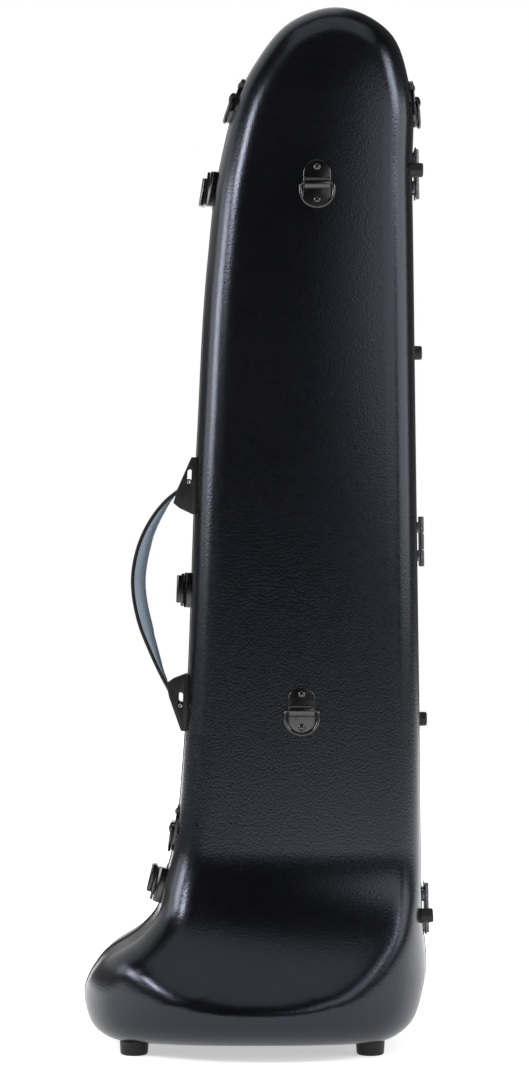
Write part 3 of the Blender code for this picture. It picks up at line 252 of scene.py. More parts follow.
def settle(name, work, node, slot, place=unmoved, crease="stamped", finish=None):
    # A mesh becomes a piece that stands for a node and rides on its body
    bmesh.ops.transform(work, matrix=place, verts=work.verts)
    mesh = bpy.data.meshes.new(name)
    work.to_mesh(mesh)
    work.free()
    mesh.shade_smooth()
    mesh.set_sharp_from_angle(angle=creases[crease])
    mesh.materials.append(finishes[finish or slot])
    piece = bpy.data.objects.new(name, mesh)
    bpy.context.scene.collection.objects.link(piece)
    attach(piece, bodyOf[node])
    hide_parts(node)
    return piece


def addTo(work, shape, place=unmoved):
    # Moves a small mesh into a larger one
    bmesh.ops.transform(shape, matrix=place, verts=shape.verts)
    mesh = bpy.data.meshes.new("part")
    shape.to_mesh(mesh)
    shape.free()
    work.from_mesh(mesh)
    bpy.data.meshes.remove(mesh)


def pushOut(work, distanceAt):
    # Moves each point along its normal by the distance that holds there
    places = [v.co + v.normal * distanceAt(v.co) for v in work.verts]
    for vertex, place in zip(work.verts, places):
        vertex.co = place


def stitch(shape, rows, capped=False):
    # Faces between closed rows of points; a row of one point is a tip
    steps = max(len(row) for row in rows)
    for lower, upper in zip(rows, rows[1:]):
        for i in range(steps):
            j = (i + 1) % steps
            corners = (lower[i % len(lower)], lower[j % len(lower)],
                       upper[j % len(upper)], upper[i % len(upper)])
            corners = list(dict.fromkeys(corners))
            if len(corners) > 2:
                shape.faces.new(corners)
    if capped:
        shape.faces.new(rows[0])
        shape.faces.new(rows[-1])
    bmesh.ops.recalc_face_normals(shape, faces=shape.faces)
    return shape


def prism(outline, low, high, edge=0.0, edgeSteps=2, holes=()):
    # A flat outline in X and Y, drawn out along Z, with rounded edges
    shape = bmesh.new()
    edges = []
    for loop in (outline, *holes):
        ring = [shape.verts.new((x, y, low)) for x, y in loop]
        edges += [shape.edges.new((ring[i - 1], ring[i])) for i in range(len(ring))]
    bmesh.ops.triangle_fill(shape, use_beauty=True, use_dissolve=False, edges=edges)
    bmesh.ops.dissolve_limit(shape, angle_limit=flatAngle, verts=shape.verts, edges=shape.edges)
    drawn = bmesh.ops.extrude_face_region(shape, geom=list(shape.faces))
    top = [v for v in drawn["geom"] if isinstance(v, bmesh.types.BMVert)]
    bmesh.ops.translate(shape, verts=top, vec=(0, 0, high - low))
    bmesh.ops.recalc_face_normals(shape, faces=shape.faces)
    if edge:
        sharp = [e for e in shape.edges if len(e.link_faces) == 2 and e.calc_face_angle() > bevelAngle]
        bmesh.ops.bevel(shape, geom=sharp, offset=edge, segments=edgeSteps, profile=0.5, affect="EDGES",
                        clamp_overlap=True)
    return shape


def arcPoints(middle, radius, start=0.0, turn=math.tau, steps=32):
    count = steps if abs(turn) == math.tau else steps + 1
    points = []
    for step in range(count):
        angle = start + turn * step / steps
        points.append((middle[0] + radius * math.cos(angle), middle[1] + radius * math.sin(angle)))
    return points


def rectangle(low, high):
    return [(low[0], low[1]), (high[0], low[1]), (high[0], high[1]), (low[0], high[1])]


def roundedRectangle(low, high, corner, steps=5, first=0):
    # Anticlockwise from one corner, where 0 is the high one and 2 the low one
    middles = rectangle([value + corner for value in low], [value - corner for value in high])
    points = []
    for quarter in range(first, first + 4):
        points += arcPoints(middles[(quarter + 2) % 4], corner, quarter % 4 * math.pi / 2, math.pi / 2, steps)
    return points


def turned(profile, steps):
    # A profile of (radius, height) pairs turned about Z; ends at the axis are closed
    shape = bmesh.new()
    rows = []
    for radius, height in profile:
        circle = arcPoints((0, 0), radius, steps=steps)[:steps if radius else 1]
        rows.append([shape.verts.new((x, y, height)) for x, y in circle])
    return stitch(shape, rows)


def roundedEnd(radius, height, edge, steps=4):
    # Profile from the axis over a rounded edge to the side
    points = [(0.0, height)]
    for step in range(steps + 1):
        angle = math.pi / 2 * step / steps
        points.append((radius - edge + edge * math.sin(angle), height - edge + edge * math.cos(angle)))
    return points


def spindle(radius, half, edge, steps):
    # A turned pin along Z, with both ends rounded
    end = roundedEnd(radius, half, edge)
    return turned(end + [(across, -up) for across, up in reversed(end)], steps)


def collar(bore, radius, start, end, edge, steps):
    # A ring round a bore, with its outer edges broken
    ring = [(bore, start), (radius - edge, start), (radius, start + edge), (radius, end - edge),
            (radius - edge, end), (bore, end)]
    return turned(ring + ring[:1], steps)


def wireLoop(points, radius, steps=16):
    # A round wire along a closed run of points in 3D
    shape = bmesh.new()
    rows = []
    lift = None
    for i, point in enumerate(points):
        way = (Vector(points[(i + 1) % len(points)]) - Vector(points[i - 1])).normalized()
        if lift is None:
            lift = way.orthogonal()
        lift = (lift - way * lift.dot(way)).normalized()
        wing = way.cross(lift)
        rows.append([shape.verts.new(Vector(point) + lift * x + wing * y)
                     for x, y in arcPoints((0, 0), radius, steps=steps)])
    return stitch(shape, rows + rows[:1])


toOut = Matrix.Rotation(math.pi / 2, 4, "Y")    # turns a shape's Z to the frame's X
# Turns a plate drawn in X and Y, thick along Z, into the frame's Y and Z, thick along X
plateTurn = Matrix(((0, 0, 1, 0), (1, 0, 0, 0), (0, 1, 0, 0), (0, 0, 0, 1)))


def outAt(place):
    return Matrix.Translation(place) @ toOut


# Heads of screws and rivets, where shares are of a head's own radius and height
fastener = {"sunk": 0.0005, "steps": 48, "rings": 14, "crownShare": 0.86, "recessShare": 0.17,
            "recessReachShare": 0.62, "recessDepthShare": 0.55, "recessTaper": 0.5,
            "domeRings": 10, "domeSteps": 28}


def screwHead(radius, height):
    # A domed head with a cross recess pressed in
    shape = bmesh.new()
    rows = []
    for ring in range(fastener["rings"] + 1):
        share = ring / fastener["rings"]
        row = []
        circle = arcPoints((0, 0), radius * share, steps=fastener["steps"])
        for x, y in circle if ring else circle[:1]:
            top = height * math.sqrt(1 - (fastener["crownShare"] * share) ** 2) if share < 1 else 0.0
            arm = min(abs(x), abs(y)) / radius
            reach = max(abs(x), abs(y)) / radius
            if arm < fastener["recessShare"] and reach < fastener["recessReachShare"]:
                top -= height * fastener["recessDepthShare"] * (1 - fastener["recessTaper"] * reach)
            row.append(shape.verts.new((x, y, top)))
        rows.append(row)
    rows.append([shape.verts.new((v.co.x, v.co.y, -fastener["sunk"])) for v in rows[-1]])
    return stitch(shape, rows)


def rivetHead(radius, height):
    rings = fastener["domeRings"]
    turns = [math.pi / 2 * ring / rings for ring in range(1, rings + 1)]
    dome = [(0.0, height)] + [(radius * math.sin(turn), height * math.cos(turn)) for turn in turns]
    return turned(dome + [(radius, -fastener["sunk"])], fastener["domeSteps"])


# Outline at the seam and the surface of one half. The sizes are those of the solids, but for the lower
# left of the toe, the width of its arch and the foot and height of its ramp, which go by the photograph

shell = {
    "width": 0.3115, "height": 0.942, "base": 0.010, "wall": 0.003, "gap": 0.0003,
    "depthHigh": 0.062, "depthLow": 0.070, "toeDepth": 0.140, "bellX": -0.001,
    "rampHeight": 0.176, "rampFoot": 0.036, "rampPower": 2.0, "footBlend": 0.02,
    "archHalfWidth": 0.1720, "archLimitShare": 0.98, "edgeBlend": 0.0055, "crestStart": 0.095,
    "draft": math.radians(3), "flange": 0.013, "rounding": 0.032, "roundingEnd": math.radians(82),
    "roundingLimitShare": 0.95, "toeCorner": 0.040, "domeRise": 0.152,
    "spineFoot": 0.075, "spineHead": 0.085, "spineBlend": 0.012,
}
# Points of the seam line: across as shares of the width, up as shares of the height
outline = {
    "handleSideShares": (
        (-0.385, 0.0), (-0.483, 0.012), (-0.510, 0.043), (-0.461, 0.076), (-0.342, 0.105),
        (-0.295, 0.124), (-0.276, 0.149), (-0.249, 0.184), (-0.233, 0.218), (-0.223, 0.255),
        (-0.178, 0.580), (-0.146, 0.756), (-0.114, 0.842), (-0.018, 0.941), (0.101, 0.987),
        (0.228, 1.0)),
    "hingeSideShares": (
        (0.337, 0.0), (0.448, 0.015), (0.490, 0.051), (0.483, 0.122), (0.475, 0.319),
        (0.464, 0.584), (0.4536, 0.839), (0.449, 0.921), (0.390, 0.975), (0.228, 1.0)),
    "baseMiddleShare": -0.01,
}
# How finely the half is cut up and smoothed
fine = {"lineSteps": 24, "runSteps": 12, "cornerSteps": 12, "toeSteps": 64, "bodySteps": 60,
        "domeSteps": 26, "arcRings": 14, "panelRings": 60, "fitPasses": 6, "leanPasses": 14,
        "weld": 0.000002, "liningWeld": 0.0001}
shellTop = shell["base"] + shell["height"]


def heightAt(share):
    return shell["base"] + share * shell["height"]


def smoothLine(points, startWay, endWay, steps):
    # A curve through the points that leaves and arrives along the given ways
    spans = [(b - a).length for a, b in zip(points, points[1:])]
    ways = [startWay]
    for i in range(1, len(points) - 1):
        before = (points[i] - points[i - 1]) / spans[i - 1]
        after = (points[i + 1] - points[i]) / spans[i]
        ways.append((before * spans[i] + after * spans[i - 1]) / (spans[i] + spans[i - 1]))
    ways.append(endWay)
    line = [points[0].copy()]
    for i, span in enumerate(spans):
        for step in range(1, steps + 1):
            t = step / steps
            line.append(points[i] * (2 * t ** 3 - 3 * t ** 2 + 1)
                        + ways[i] * span * (t ** 3 - 2 * t ** 2 + t)
                        + points[i + 1] * (3 * t ** 2 - 2 * t ** 3)
                        + ways[i + 1] * span * (t ** 3 - t ** 2))
    return line


def sideLine(shares, side):
    points = [Vector((x * shell["width"], heightAt(z))) for x, z in shares]
    return smoothLine(points, Vector((side, 0.0)), Vector((-side, 0.0)), fine["lineSteps"])


handleLine = sideLine(outline["handleSideShares"], -1)
hingeLine = sideLine(outline["hingeSideShares"], 1)
baseMiddle = Vector((outline["baseMiddleShare"] * shell["width"], shell["base"]))


def lineX(line, height):
    for lower, upper in zip(line, line[1:]):
        if lower.y <= height <= upper.y and upper.y > lower.y:
            return lower.x + (upper.x - lower.x) * (height - lower.y) / (upper.y - lower.y)
    return line[-1].x if height > line[-1].y else line[0].x


def seamLoop():
    # Outline points, up the handle side and down the hinge side
    cornerTop = shell["base"] + shell["toeCorner"]
    rampTop = shell["base"] + shell["rampHeight"]
    domeBase = shellTop - shell["domeRise"]
    heights = []
    for step in range(1, fine["cornerSteps"] + 1):
        turn = math.pi / 2 * step / fine["cornerSteps"]
        heights.append(cornerTop - shell["toeCorner"] * math.cos(turn))
    for low, high, steps in ((cornerTop, rampTop, fine["toeSteps"]), (rampTop, domeBase, fine["bodySteps"])):
        heights += [low + (high - low) * step / steps for step in range(1, steps + 1)]
    for step in range(1, fine["domeSteps"]):
        heights.append(domeBase + shell["domeRise"] * math.sin(math.pi / 2 * step / fine["domeSteps"]))
    pairs = [(baseMiddle, baseMiddle)]
    for step in range(1, fine["runSteps"] + 1):
        share = step / fine["runSteps"]
        pairs.append((baseMiddle.lerp(handleLine[0], share), baseMiddle.lerp(hingeLine[0], share)))
    for height in heights:
        pairs.append(tuple(Vector((lineX(line, height), height)) for line in (handleLine, hingeLine)))
    pairs.append((handleLine[-1], handleLine[-1]))
    return [pair[0] for pair in pairs] + [pair[1] for pair in reversed(pairs[1:-1])]


def softFloor(value, least, blend):
    # The larger of the two, with a smooth change from one to the other
    return max(value, least) + blend * math.log(1 + math.exp(-abs(value - least) / blend))


def softCeiling(value, most, blend):
    return -softFloor(-value, -most, blend)


def spinePoint(height):
    height = softFloor(height, shell["base"] + shell["spineFoot"], shell["spineBlend"])
    height = softCeiling(height, shellTop - shell["spineHead"], shell["spineBlend"])
    return Vector(((lineX(handleLine, height) + lineX(hingeLine, height)) / 2, height))


loopPoints = seamLoop()
loopInward = []
for i, point in enumerate(loopPoints):
    before, after = point - loopPoints[i - 1], loopPoints[(i + 1) % len(loopPoints)] - point
    way = before * after.length / before.length + after * before.length / after.length
    loopInward.append(Vector((way.y, -way.x)).normalized())


def panelDepth(x, z):
    # How far the half bulges from the seam plane
    height = z - shell["base"]
    share = min(max((height - shell["rampHeight"]) / (shell["height"] - shell["rampHeight"]), 0.0), 1.0)
    panel = shell["depthLow"] + (shell["depthHigh"] - shell["depthLow"]) * share
    ramp = max((shell["rampHeight"] - height) / (shell["rampHeight"] - shell["rampFoot"]), 0.0)
    ramp = max(softCeiling(ramp, 1.0, shell["footBlend"]), 0.0)
    panel += (shell["toeDepth"] - shell["depthLow"]) * ramp ** shell["rampPower"]
    across = min(abs(x - shell["bellX"]) / shell["archHalfWidth"], shell["archLimitShare"])
    arch = shell["toeDepth"] * math.sqrt(1 - across ** 2)
    return softCeiling(panel, arch, shell["edgeBlend"])


def shellColumn(point, lean, spine):
    # Points (x, depth, z) from the wall's end over its rounded edge and across the panel
    end = shell["roundingEnd"]
    rounding = min(shell["rounding"], (panelDepth(*point) - shell["flange"]) * shell["roundingLimitShare"])
    rise = rounding * math.sin(end)
    span = (spine - point).length - rounding * (1 - math.cos(end))
    crown = span / math.tan(end) / 2
    inset = 0.0
    for attempt in range(fine["fitPasses"]):
        wallEnd = panelDepth(*(point + lean * inset)) - rise - crown
        inset = max(wallEnd - shell["flange"], 0.0) * math.tan(shell["draft"])
    points = []
    for step in range(fine["arcRings"] + 1):
        angle = end * step / fine["arcRings"]
        edge = point + lean * (inset + rounding * (1 - math.cos(angle)))
        depth = panelDepth(*edge) - crown - rise + rounding * math.sin(angle)
        points.append((edge.x, max(depth, shell["flange"]), edge.y))
    for step in range(1, fine["panelRings"] + 1):
        share = step / (fine["panelRings"] + 1)
        place = edge.lerp(spine, share)
        points.append((place.x, panelDepth(*place) - crown * (1 - share) ** 2, place.y))
    points.append((spine.x, panelDepth(*spine), spine.y))
    return points


def halfRings():
    # Rings of (x, depth, z) from the flange to the spine
    spines = [spinePoint(point.y) for point in loopPoints]
    leans = [(way + (spine - point).normalized()).normalized()
             for point, way, spine in zip(loopPoints, loopInward, spines)]
    for attempt in range(fine["leanPasses"]):
        leans = [(leans[i - 1] + 2 * lean + leans[(i + 1) % len(leans)]).normalized()
                 for i, lean in enumerate(leans)]
    columns = []
    for point, lean, spine in zip(loopPoints, leans, spines):
        columns.append([(point.x, shell["flange"], point.y)] + shellColumn(point, lean, spine))
    # The crest of the ridge eases down to the depth that the solid shell has there
    start = shell["crestStart"]
    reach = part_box("lid_shell")[1].y
    most = max(y for column in columns for x, y, z in column)
    ease = max(most - reach, 0.0) / (most - start) ** 2
    print("crest eased by", round((most - reach) * 1000, 2), "mm")
    return [[(x, y - ease * max(y - start, 0.0) ** 2, z) for x, y, z in ring] for ring in zip(*columns)]


halfSurface = halfRings()
print("surface of a half:", len(loopPoints), "points round,", len(halfSurface), "rings")


def ringsToMesh(rings, side):
    work = bmesh.new()
    rows = [[work.verts.new((x, side * y, z)) for x, y, z in ring] for ring in rings]
    count = len(rings[0])
    for lower, upper in zip(rows, rows[1:]):
        for i in range(count):
            j = (i + 1) % count
            corners = (lower[i], lower[j], upper[j], upper[i])
            work.faces.new(corners if side == lid else corners[::-1])
    bmesh.ops.remove_doubles(work, verts=work.verts, dist=fine["weld"])
    work.normal_update()
    return work


def ringsAlong(profile):
    # Rings that follow the outline, one for each (offset, depth) of the profile
    return [[(p.x + w.x * offset, depth, p.y + w.y * offset) for p, w in zip(loopPoints, loopInward)]
            for offset, depth in profile]


def seamBand(low, high, edge, side):
    # A closed band along the outline, between two offsets and two depths
    section = roundedRectangle(low, high, edge, steps=4, first=2)
    work = ringsToMesh(ringsAlong(section + section[:1]), side)
    bmesh.ops.recalc_face_normals(work, faces=work.faces)
    return work


# Shells, rims and seal

rim = {"depth": 0.005, "proud": 0.0010, "lap": 0.0008, "seamGap": 0.0002, "edge": 0.0009,
       "sealWidth": 0.0025, "sealEdge": 0.0011}
rimInside = shell["wall"] + rim["lap"]
wallStart = rim["depth"] + shell["gap"]
wallRings = [[(x, wallStart, z) for x, y, z in halfSurface[0]]] + halfSurface

for side, label in halves:
    outer = settle(f"{label}_moulding", ringsToMesh(wallRings, side), f"{label}_shell", "moulded_shell",
                   crease="moulded")
    wall = outer.modifiers.new("wall", "SOLIDIFY")
    wall.thickness = shell["wall"]
    wall.offset = -1.0
    wall.use_even_offset = False
    band = seamBand((-rim["proud"], rim["seamGap"]), (rimInside, rim["depth"]), rim["edge"], side)
    settle(f"{label}_rim_moulding", band, f"{label}_rim", "black_rubber", crease="moulded")
sealStart = rimInside + shell["gap"]
bead = seamBand((sealStart, rim["seamGap"]), (sealStart + rim["sealWidth"], rim["depth"]), rim["sealEdge"],
                back)
settle("seal_bead", bead, "rim_seal", "black_rubber", crease="moulded")
print("shells, rims and seal made")


# Plush lining and foam blocks

lining = {"clearance": 0.0006, "thickness": 0.009, "rollStart": 0.0072, "rollCrest": 0.0036,
          "rollSteps": 8, "pileDepth": 0.0004, "pileMm": 9}


def plushLining(side, label):
    # Foam under plush: it hugs the shell, with a soft roll beside the seam
    near = shell["wall"] + lining["clearance"]
    far = near + lining["thickness"]
    pile = perMm(lining["pileMm"])
    work = ringsToMesh(wallRings, side)
    inner = ringsToMesh(wallRings, side)
    pushOut(work, lambda at: -near)
    pushOut(inner, lambda at: -(far + lining["pileDepth"] * noise.noise(at * pile)))
    for layer in (work, inner):
        bmesh.ops.reverse_faces(layer, faces=layer.faces)
    addTo(work, inner)
    profile = [(near, wallStart), (lining["rollStart"], wallStart)]
    bow = far - lining["rollStart"]
    for step in range(1, lining["rollSteps"] + 1):
        angle = math.pi / 2 * step / lining["rollSteps"]
        profile.append((lining["rollStart"] + bow * math.sin(angle) ** 2,
                        wallStart - (wallStart - lining["rollCrest"]) * math.sin(2 * angle)))
    addTo(work, ringsToMesh(ringsAlong(profile), side))
    bmesh.ops.remove_doubles(work, verts=work.verts, dist=fine["liningWeld"])
    bmesh.ops.recalc_face_normals(work, faces=work.faces)
    piece = settle(f"{label}_plush", work, f"{label}_lining", "black_plush", crease="plush")


for side, label in halves:
    plushLining(side, label)

foam = {"voxel": 0.0022, "smoothing": 12, "smoothShare": 0.5, "quiltDepth": 0.0007, "quiltMm": 38,
        "nodes": ("back_throat_cradle", "back_tube_cradle_lower", "back_tube_cradle_upper",
                  "lid_slide_cradle_lower", "lid_slide_cradle_upper", "back_bell_plug", "lid_bell_plug",
                  "mouthpiece_block")}


def foamBlock(node):
    # Cut foam with plush glued over it: corners round off and the faces puff a little
    cut = bpy.data.objects.new(f"{node}_foam", nodes[node].data.copy())
    bpy.context.scene.collection.objects.link(cut)
    cage = cut.modifiers.new("cage", "REMESH")
    cage.mode = "VOXEL"
    cage.voxel_size = foam["voxel"]
    soft = cut.modifiers.new("soft", "SMOOTH")
    soft.factor = foam["smoothShare"]
    soft.iterations = foam["smoothing"]
    bpy.context.view_layer.update()
    shaped = bpy.data.meshes.new_from_object(cut.evaluated_get(bpy.context.evaluated_depsgraph_get()))
    bpy.data.objects.remove(cut)
    work = bmesh.new()
    work.from_mesh(shaped)
    work.normal_update()
    quilt = perMm(foam["quiltMm"])
    pushOut(work, lambda at: foam["quiltDepth"] * noise.noise(at * quilt))
    done = settle(f"{node}_padding", work, node, "black_plush", crease="plush")


for node in foam["nodes"]:
    foamBlock(node)
print("lining and foam made")


# Frames on the outside of the walls

wallSpan = 0.016    # the slope of a wall is read this far to each side of a fitting


def framed(out, up, place):
    across = up.cross(out)
    matrix = Matrix((out, across, up)).transposed().to_4x4()
    matrix.translation = place
    return matrix


def wallFrame(line, side, height, depth=0.0):
    # X points out of the wall and Z up along it
    low = Vector((lineX(line, height - wallSpan), height - wallSpan))
    high = Vector((lineX(line, height + wallSpan), height + wallSpan))
    along = (high - low).normalized()
    out = Vector((side * along.y, 0.0, -side * along.x))
    return framed(out, Vector((along.x, 0.0, along.y)), Vector((lineX(line, height), depth, height)))


# Hinges: stamped leaves with rolled knuckles round a pin

hinge = {
    "heightShares": (0.8408, 0.4809, 0.1221), "clearance": 0.0004, "length": 0.046, "knuckle": 0.0022,
    "pin": 0.0010, "leafWidth": 0.018, "leaf": 0.0012, "rivetY": 0.012, "rivetZ": 0.013, "padHalf": 0.005,
    "rivetRadius": 0.0021, "rivetHeight": 0.0011, "edge": 0.0005, "plateEdge": 0.00035, "corner": 0.0022,
    "bulgeSteps": 12, "knuckleSteps": 32, "pinSteps": 24,
}
hingeHeights = [heightAt(share) for share in hinge["heightShares"]]
seamHigh = Vector((lineX(hingeLine, hingeHeights[0]), 0.0, hingeHeights[0]))
seamLow = Vector((lineX(hingeLine, hingeHeights[-1]), 0.0, hingeHeights[-1]))
hingeWay = (seamHigh - seamLow).normalized()
hingeOut = Vector((hingeWay.z, 0.0, -hingeWay.x))
# The pins share one line, so it stands off the wall by the most that the wall bulges at a hinge
seamBulge = 0.0
for height in hingeHeights:
    for step in range(hinge["bulgeSteps"] + 1):
        at = height + hinge["length"] * (step / hinge["bulgeSteps"] - 0.5)
        seamBulge = max(seamBulge, (Vector((lineX(hingeLine, at), 0.0, at)) - seamLow).dot(hingeOut))
hingeStandoff = seamBulge + rim["proud"] + hinge["clearance"] + hinge["knuckle"]


def hingeFrame(height):
    low = seamLow + hingeOut * hingeStandoff
    high = seamHigh + hingeOut * hingeStandoff
    return framed(hingeOut, hingeWay, low.lerp(high, (height - low.z) / (high.z - low.z)))


def hingeLeaf(side, knuckles, place, node):
    work = bmesh.new()
    half = hinge["length"] / 2
    face = -hinge["knuckle"]
    front = face + hinge["leaf"]
    inner = hinge["knuckle"] + shell["gap"]
    ends = sorted((side * inner, side * hinge["leafWidth"]))
    plate = roundedRectangle((ends[0], -half), (ends[1], half), hinge["corner"])
    addTo(work, prism(plate, face, front, hinge["plateEdge"]), plateTurn)
    # A pad under each rivet reaches to the wall
    pad = sorted((side * (rim["depth"] + shell["gap"] * 2), side * (hinge["leafWidth"] - hinge["leaf"])))
    base = rectangle((-hingeStandoff - shell["wall"] / 2, pad[0]), (face + hinge["leaf"] / 2, pad[1]))
    for up in (-hinge["rivetZ"], hinge["rivetZ"]):
        addTo(work, rivetHead(hinge["rivetRadius"], hinge["rivetHeight"]),
              outAt((front, side * hinge["rivetY"], up)))
        addTo(work, prism(base, up - hinge["padHalf"], up + hinge["padHalf"], hinge["edge"]))
    web = sorted((side * (hinge["pin"] + shell["gap"]), side * (inner + hinge["leaf"] * 2)))
    bore = hinge["pin"] + shell["gap"] / 2
    for start, end in knuckles:
        addTo(work, collar(bore, hinge["knuckle"], start, end, hinge["edge"], hinge["knuckleSteps"]))
        addTo(work, prism(rectangle((face, web[0]), (front, web[1])), start, end))
    settle(f"{node}_stamping", work, node, "blackened_steel", place, finish="black_nickel")


for label, height in zip(levels, hingeHeights):
    place = hingeFrame(height)
    half = hinge["length"] / 2
    middle = hinge["length"] / 6
    gap = shell["gap"] / 2
    hingeLeaf(back, [(-half, -middle - gap), (middle + gap, half)], place, f"hinge_leaf_back_{label}")
    hingeLeaf(lid, [(-middle + gap, middle - gap)], place, f"hinge_leaf_lid_{label}")
    pin = spindle(hinge["pin"], half, hinge["pin"] / 2, hinge["pinSteps"])
    settle(f"hinge_pin_{label}_turned", pin, f"hinge_pin_{label}", "nickel_steel", place)
print("hinges made")


# Toggle latches: in each frame the lid is at -Y

latch = {
    "heightShares": (0.8242, 0.4335, 0.1454), "width": 0.032, "edge": 0.0006,
    "keeperNear": 0.0062, "keeperFar": 0.0170, "keeperHeight": 0.0070, "keeperStep": 0.0045,
    "baseNear": 0.0055, "baseFar": 0.0360, "base": 0.0014, "earOuter": 0.0106, "ear": 0.0016,
    "earLength": 0.0070, "leverY": 0.0095, "leverX": 0.0055, "clawY": 0.0180, "clawX": 0.0066,
    "pivot": 0.0013, "eye": 0.0027, "leverHalf": 0.0128, "cheek": 0.0016, "plateStart": 0.0225,
    "plateEnd": 0.0400, "plateFloor": 0.0098, "leverTop": 0.0150, "headEnd": 0.0130,
    "headStart": 0.0010, "claw": 0.0018, "clawHalf": 0.0150, "neckHalf": 0.0082, "clearance": 0.00035,
    "rivetRadius": 0.0021, "rivetHeight": 0.0011, "sunk": 0.0025,
    "earSteps": 14, "pinSteps": 20, "eyeSteps": 28,
}
leverPivot = Vector((latch["leverX"], -latch["leverY"], 0.0))
clawPivot = Vector((latch["clawX"], -latch["clawY"], 0.0))


def latchKeeper():
    low = -latch["sunk"]
    top = latch["keeperHeight"]
    step = latch["keeperStep"]
    profile = [(low, latch["keeperNear"]), (top - latch["base"], latch["keeperNear"]),
               (top, latch["keeperNear"] + latch["base"]), (top, latch["headEnd"] - shell["gap"]),
               (step, latch["headEnd"] + latch["base"]), (step, latch["keeperFar"]),
               (low, latch["keeperFar"])]
    return prism(profile, -latch["width"] / 2, latch["width"] / 2, latch["edge"])


def latchBase():
    half = latch["width"] / 2
    floor = shell["gap"] + latch["base"]
    work = bmesh.new()
    plate = roundedRectangle((-latch["baseFar"], -half), (-latch["baseNear"], half), latch["base"] * 2)
    addTo(work, prism(plate, -latch["sunk"], floor, latch["edge"]), plateTurn)
    reach = latch["earLength"] / 2
    middle = (latch["leverX"], -latch["leverY"])
    ear = [(0.0, middle[1] - reach), (0.0, middle[1] + reach)]
    ear += arcPoints(middle, reach, math.pi / 2, -math.pi, latch["earSteps"])
    stub = latch["leverHalf"] - latch["earOuter"] + latch["ear"] / 2
    for way in (-1, 1):
        out = way * (latch["earOuter"] - latch["ear"] / 2)
        addTo(work, prism(ear, out - latch["ear"] / 2, out + latch["ear"] / 2, latch["edge"] / 2))
        addTo(work, spindle(latch["pivot"], stub / 2, latch["pivot"] / 3, latch["pinSteps"]),
              Matrix.Translation((*middle, way * (latch["leverHalf"] - stub / 2))))
        seat = (floor, -(latch["plateStart"] + latch["baseFar"]) / 2, way * half / 2)
        addTo(work, rivetHead(latch["rivetRadius"], latch["rivetHeight"]), outAt(seat))
    return work


def latchLever():
    # Drawn round its pivot: a cranked plate between two cheeks, and the pin of the claw
    claw = clawPivot - leverPivot
    start = latch["leverY"] - latch["plateStart"]
    end = latch["leverY"] - latch["plateEnd"]
    floor = latch["plateFloor"] - latch["leverX"]
    top = latch["leverTop"] - latch["leverX"]
    edge = latch["cheek"]
    work = bmesh.new()
    profile = [(floor, start), (top - edge, start), (top, start - edge), (top, end + edge * 3),
               (floor + edge, end), (floor, end)]
    addTo(work, prism(profile, -latch["leverHalf"], latch["leverHalf"], latch["edge"], edgeSteps=3))
    reach = latch["eye"]
    cheek = [(floor + edge, start - edge)] + arcPoints((0.0, 0.0), reach, 0.0, math.pi, latch["earSteps"])
    cheek += [(claw.x - reach, claw.y), (claw.x - edge, claw.y - reach), (floor, start - edge)]
    bore = arcPoints((0.0, 0.0), latch["pivot"] + shell["gap"] / 2, steps=latch["pinSteps"])
    for way in (-1, 1):
        out = way * (latch["leverHalf"] - edge / 2)
        addTo(work, prism(cheek, out - edge / 2, out + edge / 2, latch["edge"] / 3, holes=[bore]))
    pin = spindle(latch["pivot"], latch["leverHalf"], latch["pivot"] / 3, latch["pinSteps"])
    addTo(work, pin, Matrix.Translation(claw))
    return work


def latchClaw():
    # Drawn round its pivot: an eye, a neck, and a head that lies over the keeper
    floor = latch["keeperHeight"] + latch["clearance"] - latch["clawX"]
    top = floor + latch["claw"]
    start = latch["clawY"] - latch["headStart"]
    end = latch["clawY"] + latch["headEnd"]
    work = bmesh.new()
    head = [(floor, start), (top, start), (top, end - latch["claw"]), (top + latch["claw"] / 2, end),
            (floor, end)]
    addTo(work, prism(head, -latch["clawHalf"], latch["clawHalf"], latch["edge"], edgeSteps=3))
    half = latch["neckHalf"]
    neck = [(floor, 0.0), (floor, start + latch["claw"]), (top, start + latch["claw"]), (top, 0.0)]
    addTo(work, prism(neck, -half, half, latch["edge"] / 2))
    bore = latch["pivot"] + shell["gap"] / 2
    addTo(work, collar(bore, latch["eye"], -half, half, latch["edge"], latch["eyeSteps"]))
    return work


latchParts = (("keeper", latchKeeper, unmoved), ("base", latchBase, unmoved),
              ("lever", latchLever, Matrix.Translation(leverPivot)),
              ("claw", latchClaw, Matrix.Translation(clawPivot)))
for label, share in zip(levels, latch["heightShares"]):
    place = wallFrame(handleLine, -1, heightAt(share))
    for part, make, seat in latchParts:
        node = f"latch_{part}_{label}"
        settle(f"{node}_stamping", make(), node, "blackened_steel", place @ seat)
print("latches made")


# Handle: nylon strap and soft grip on two pins that slide in their brackets

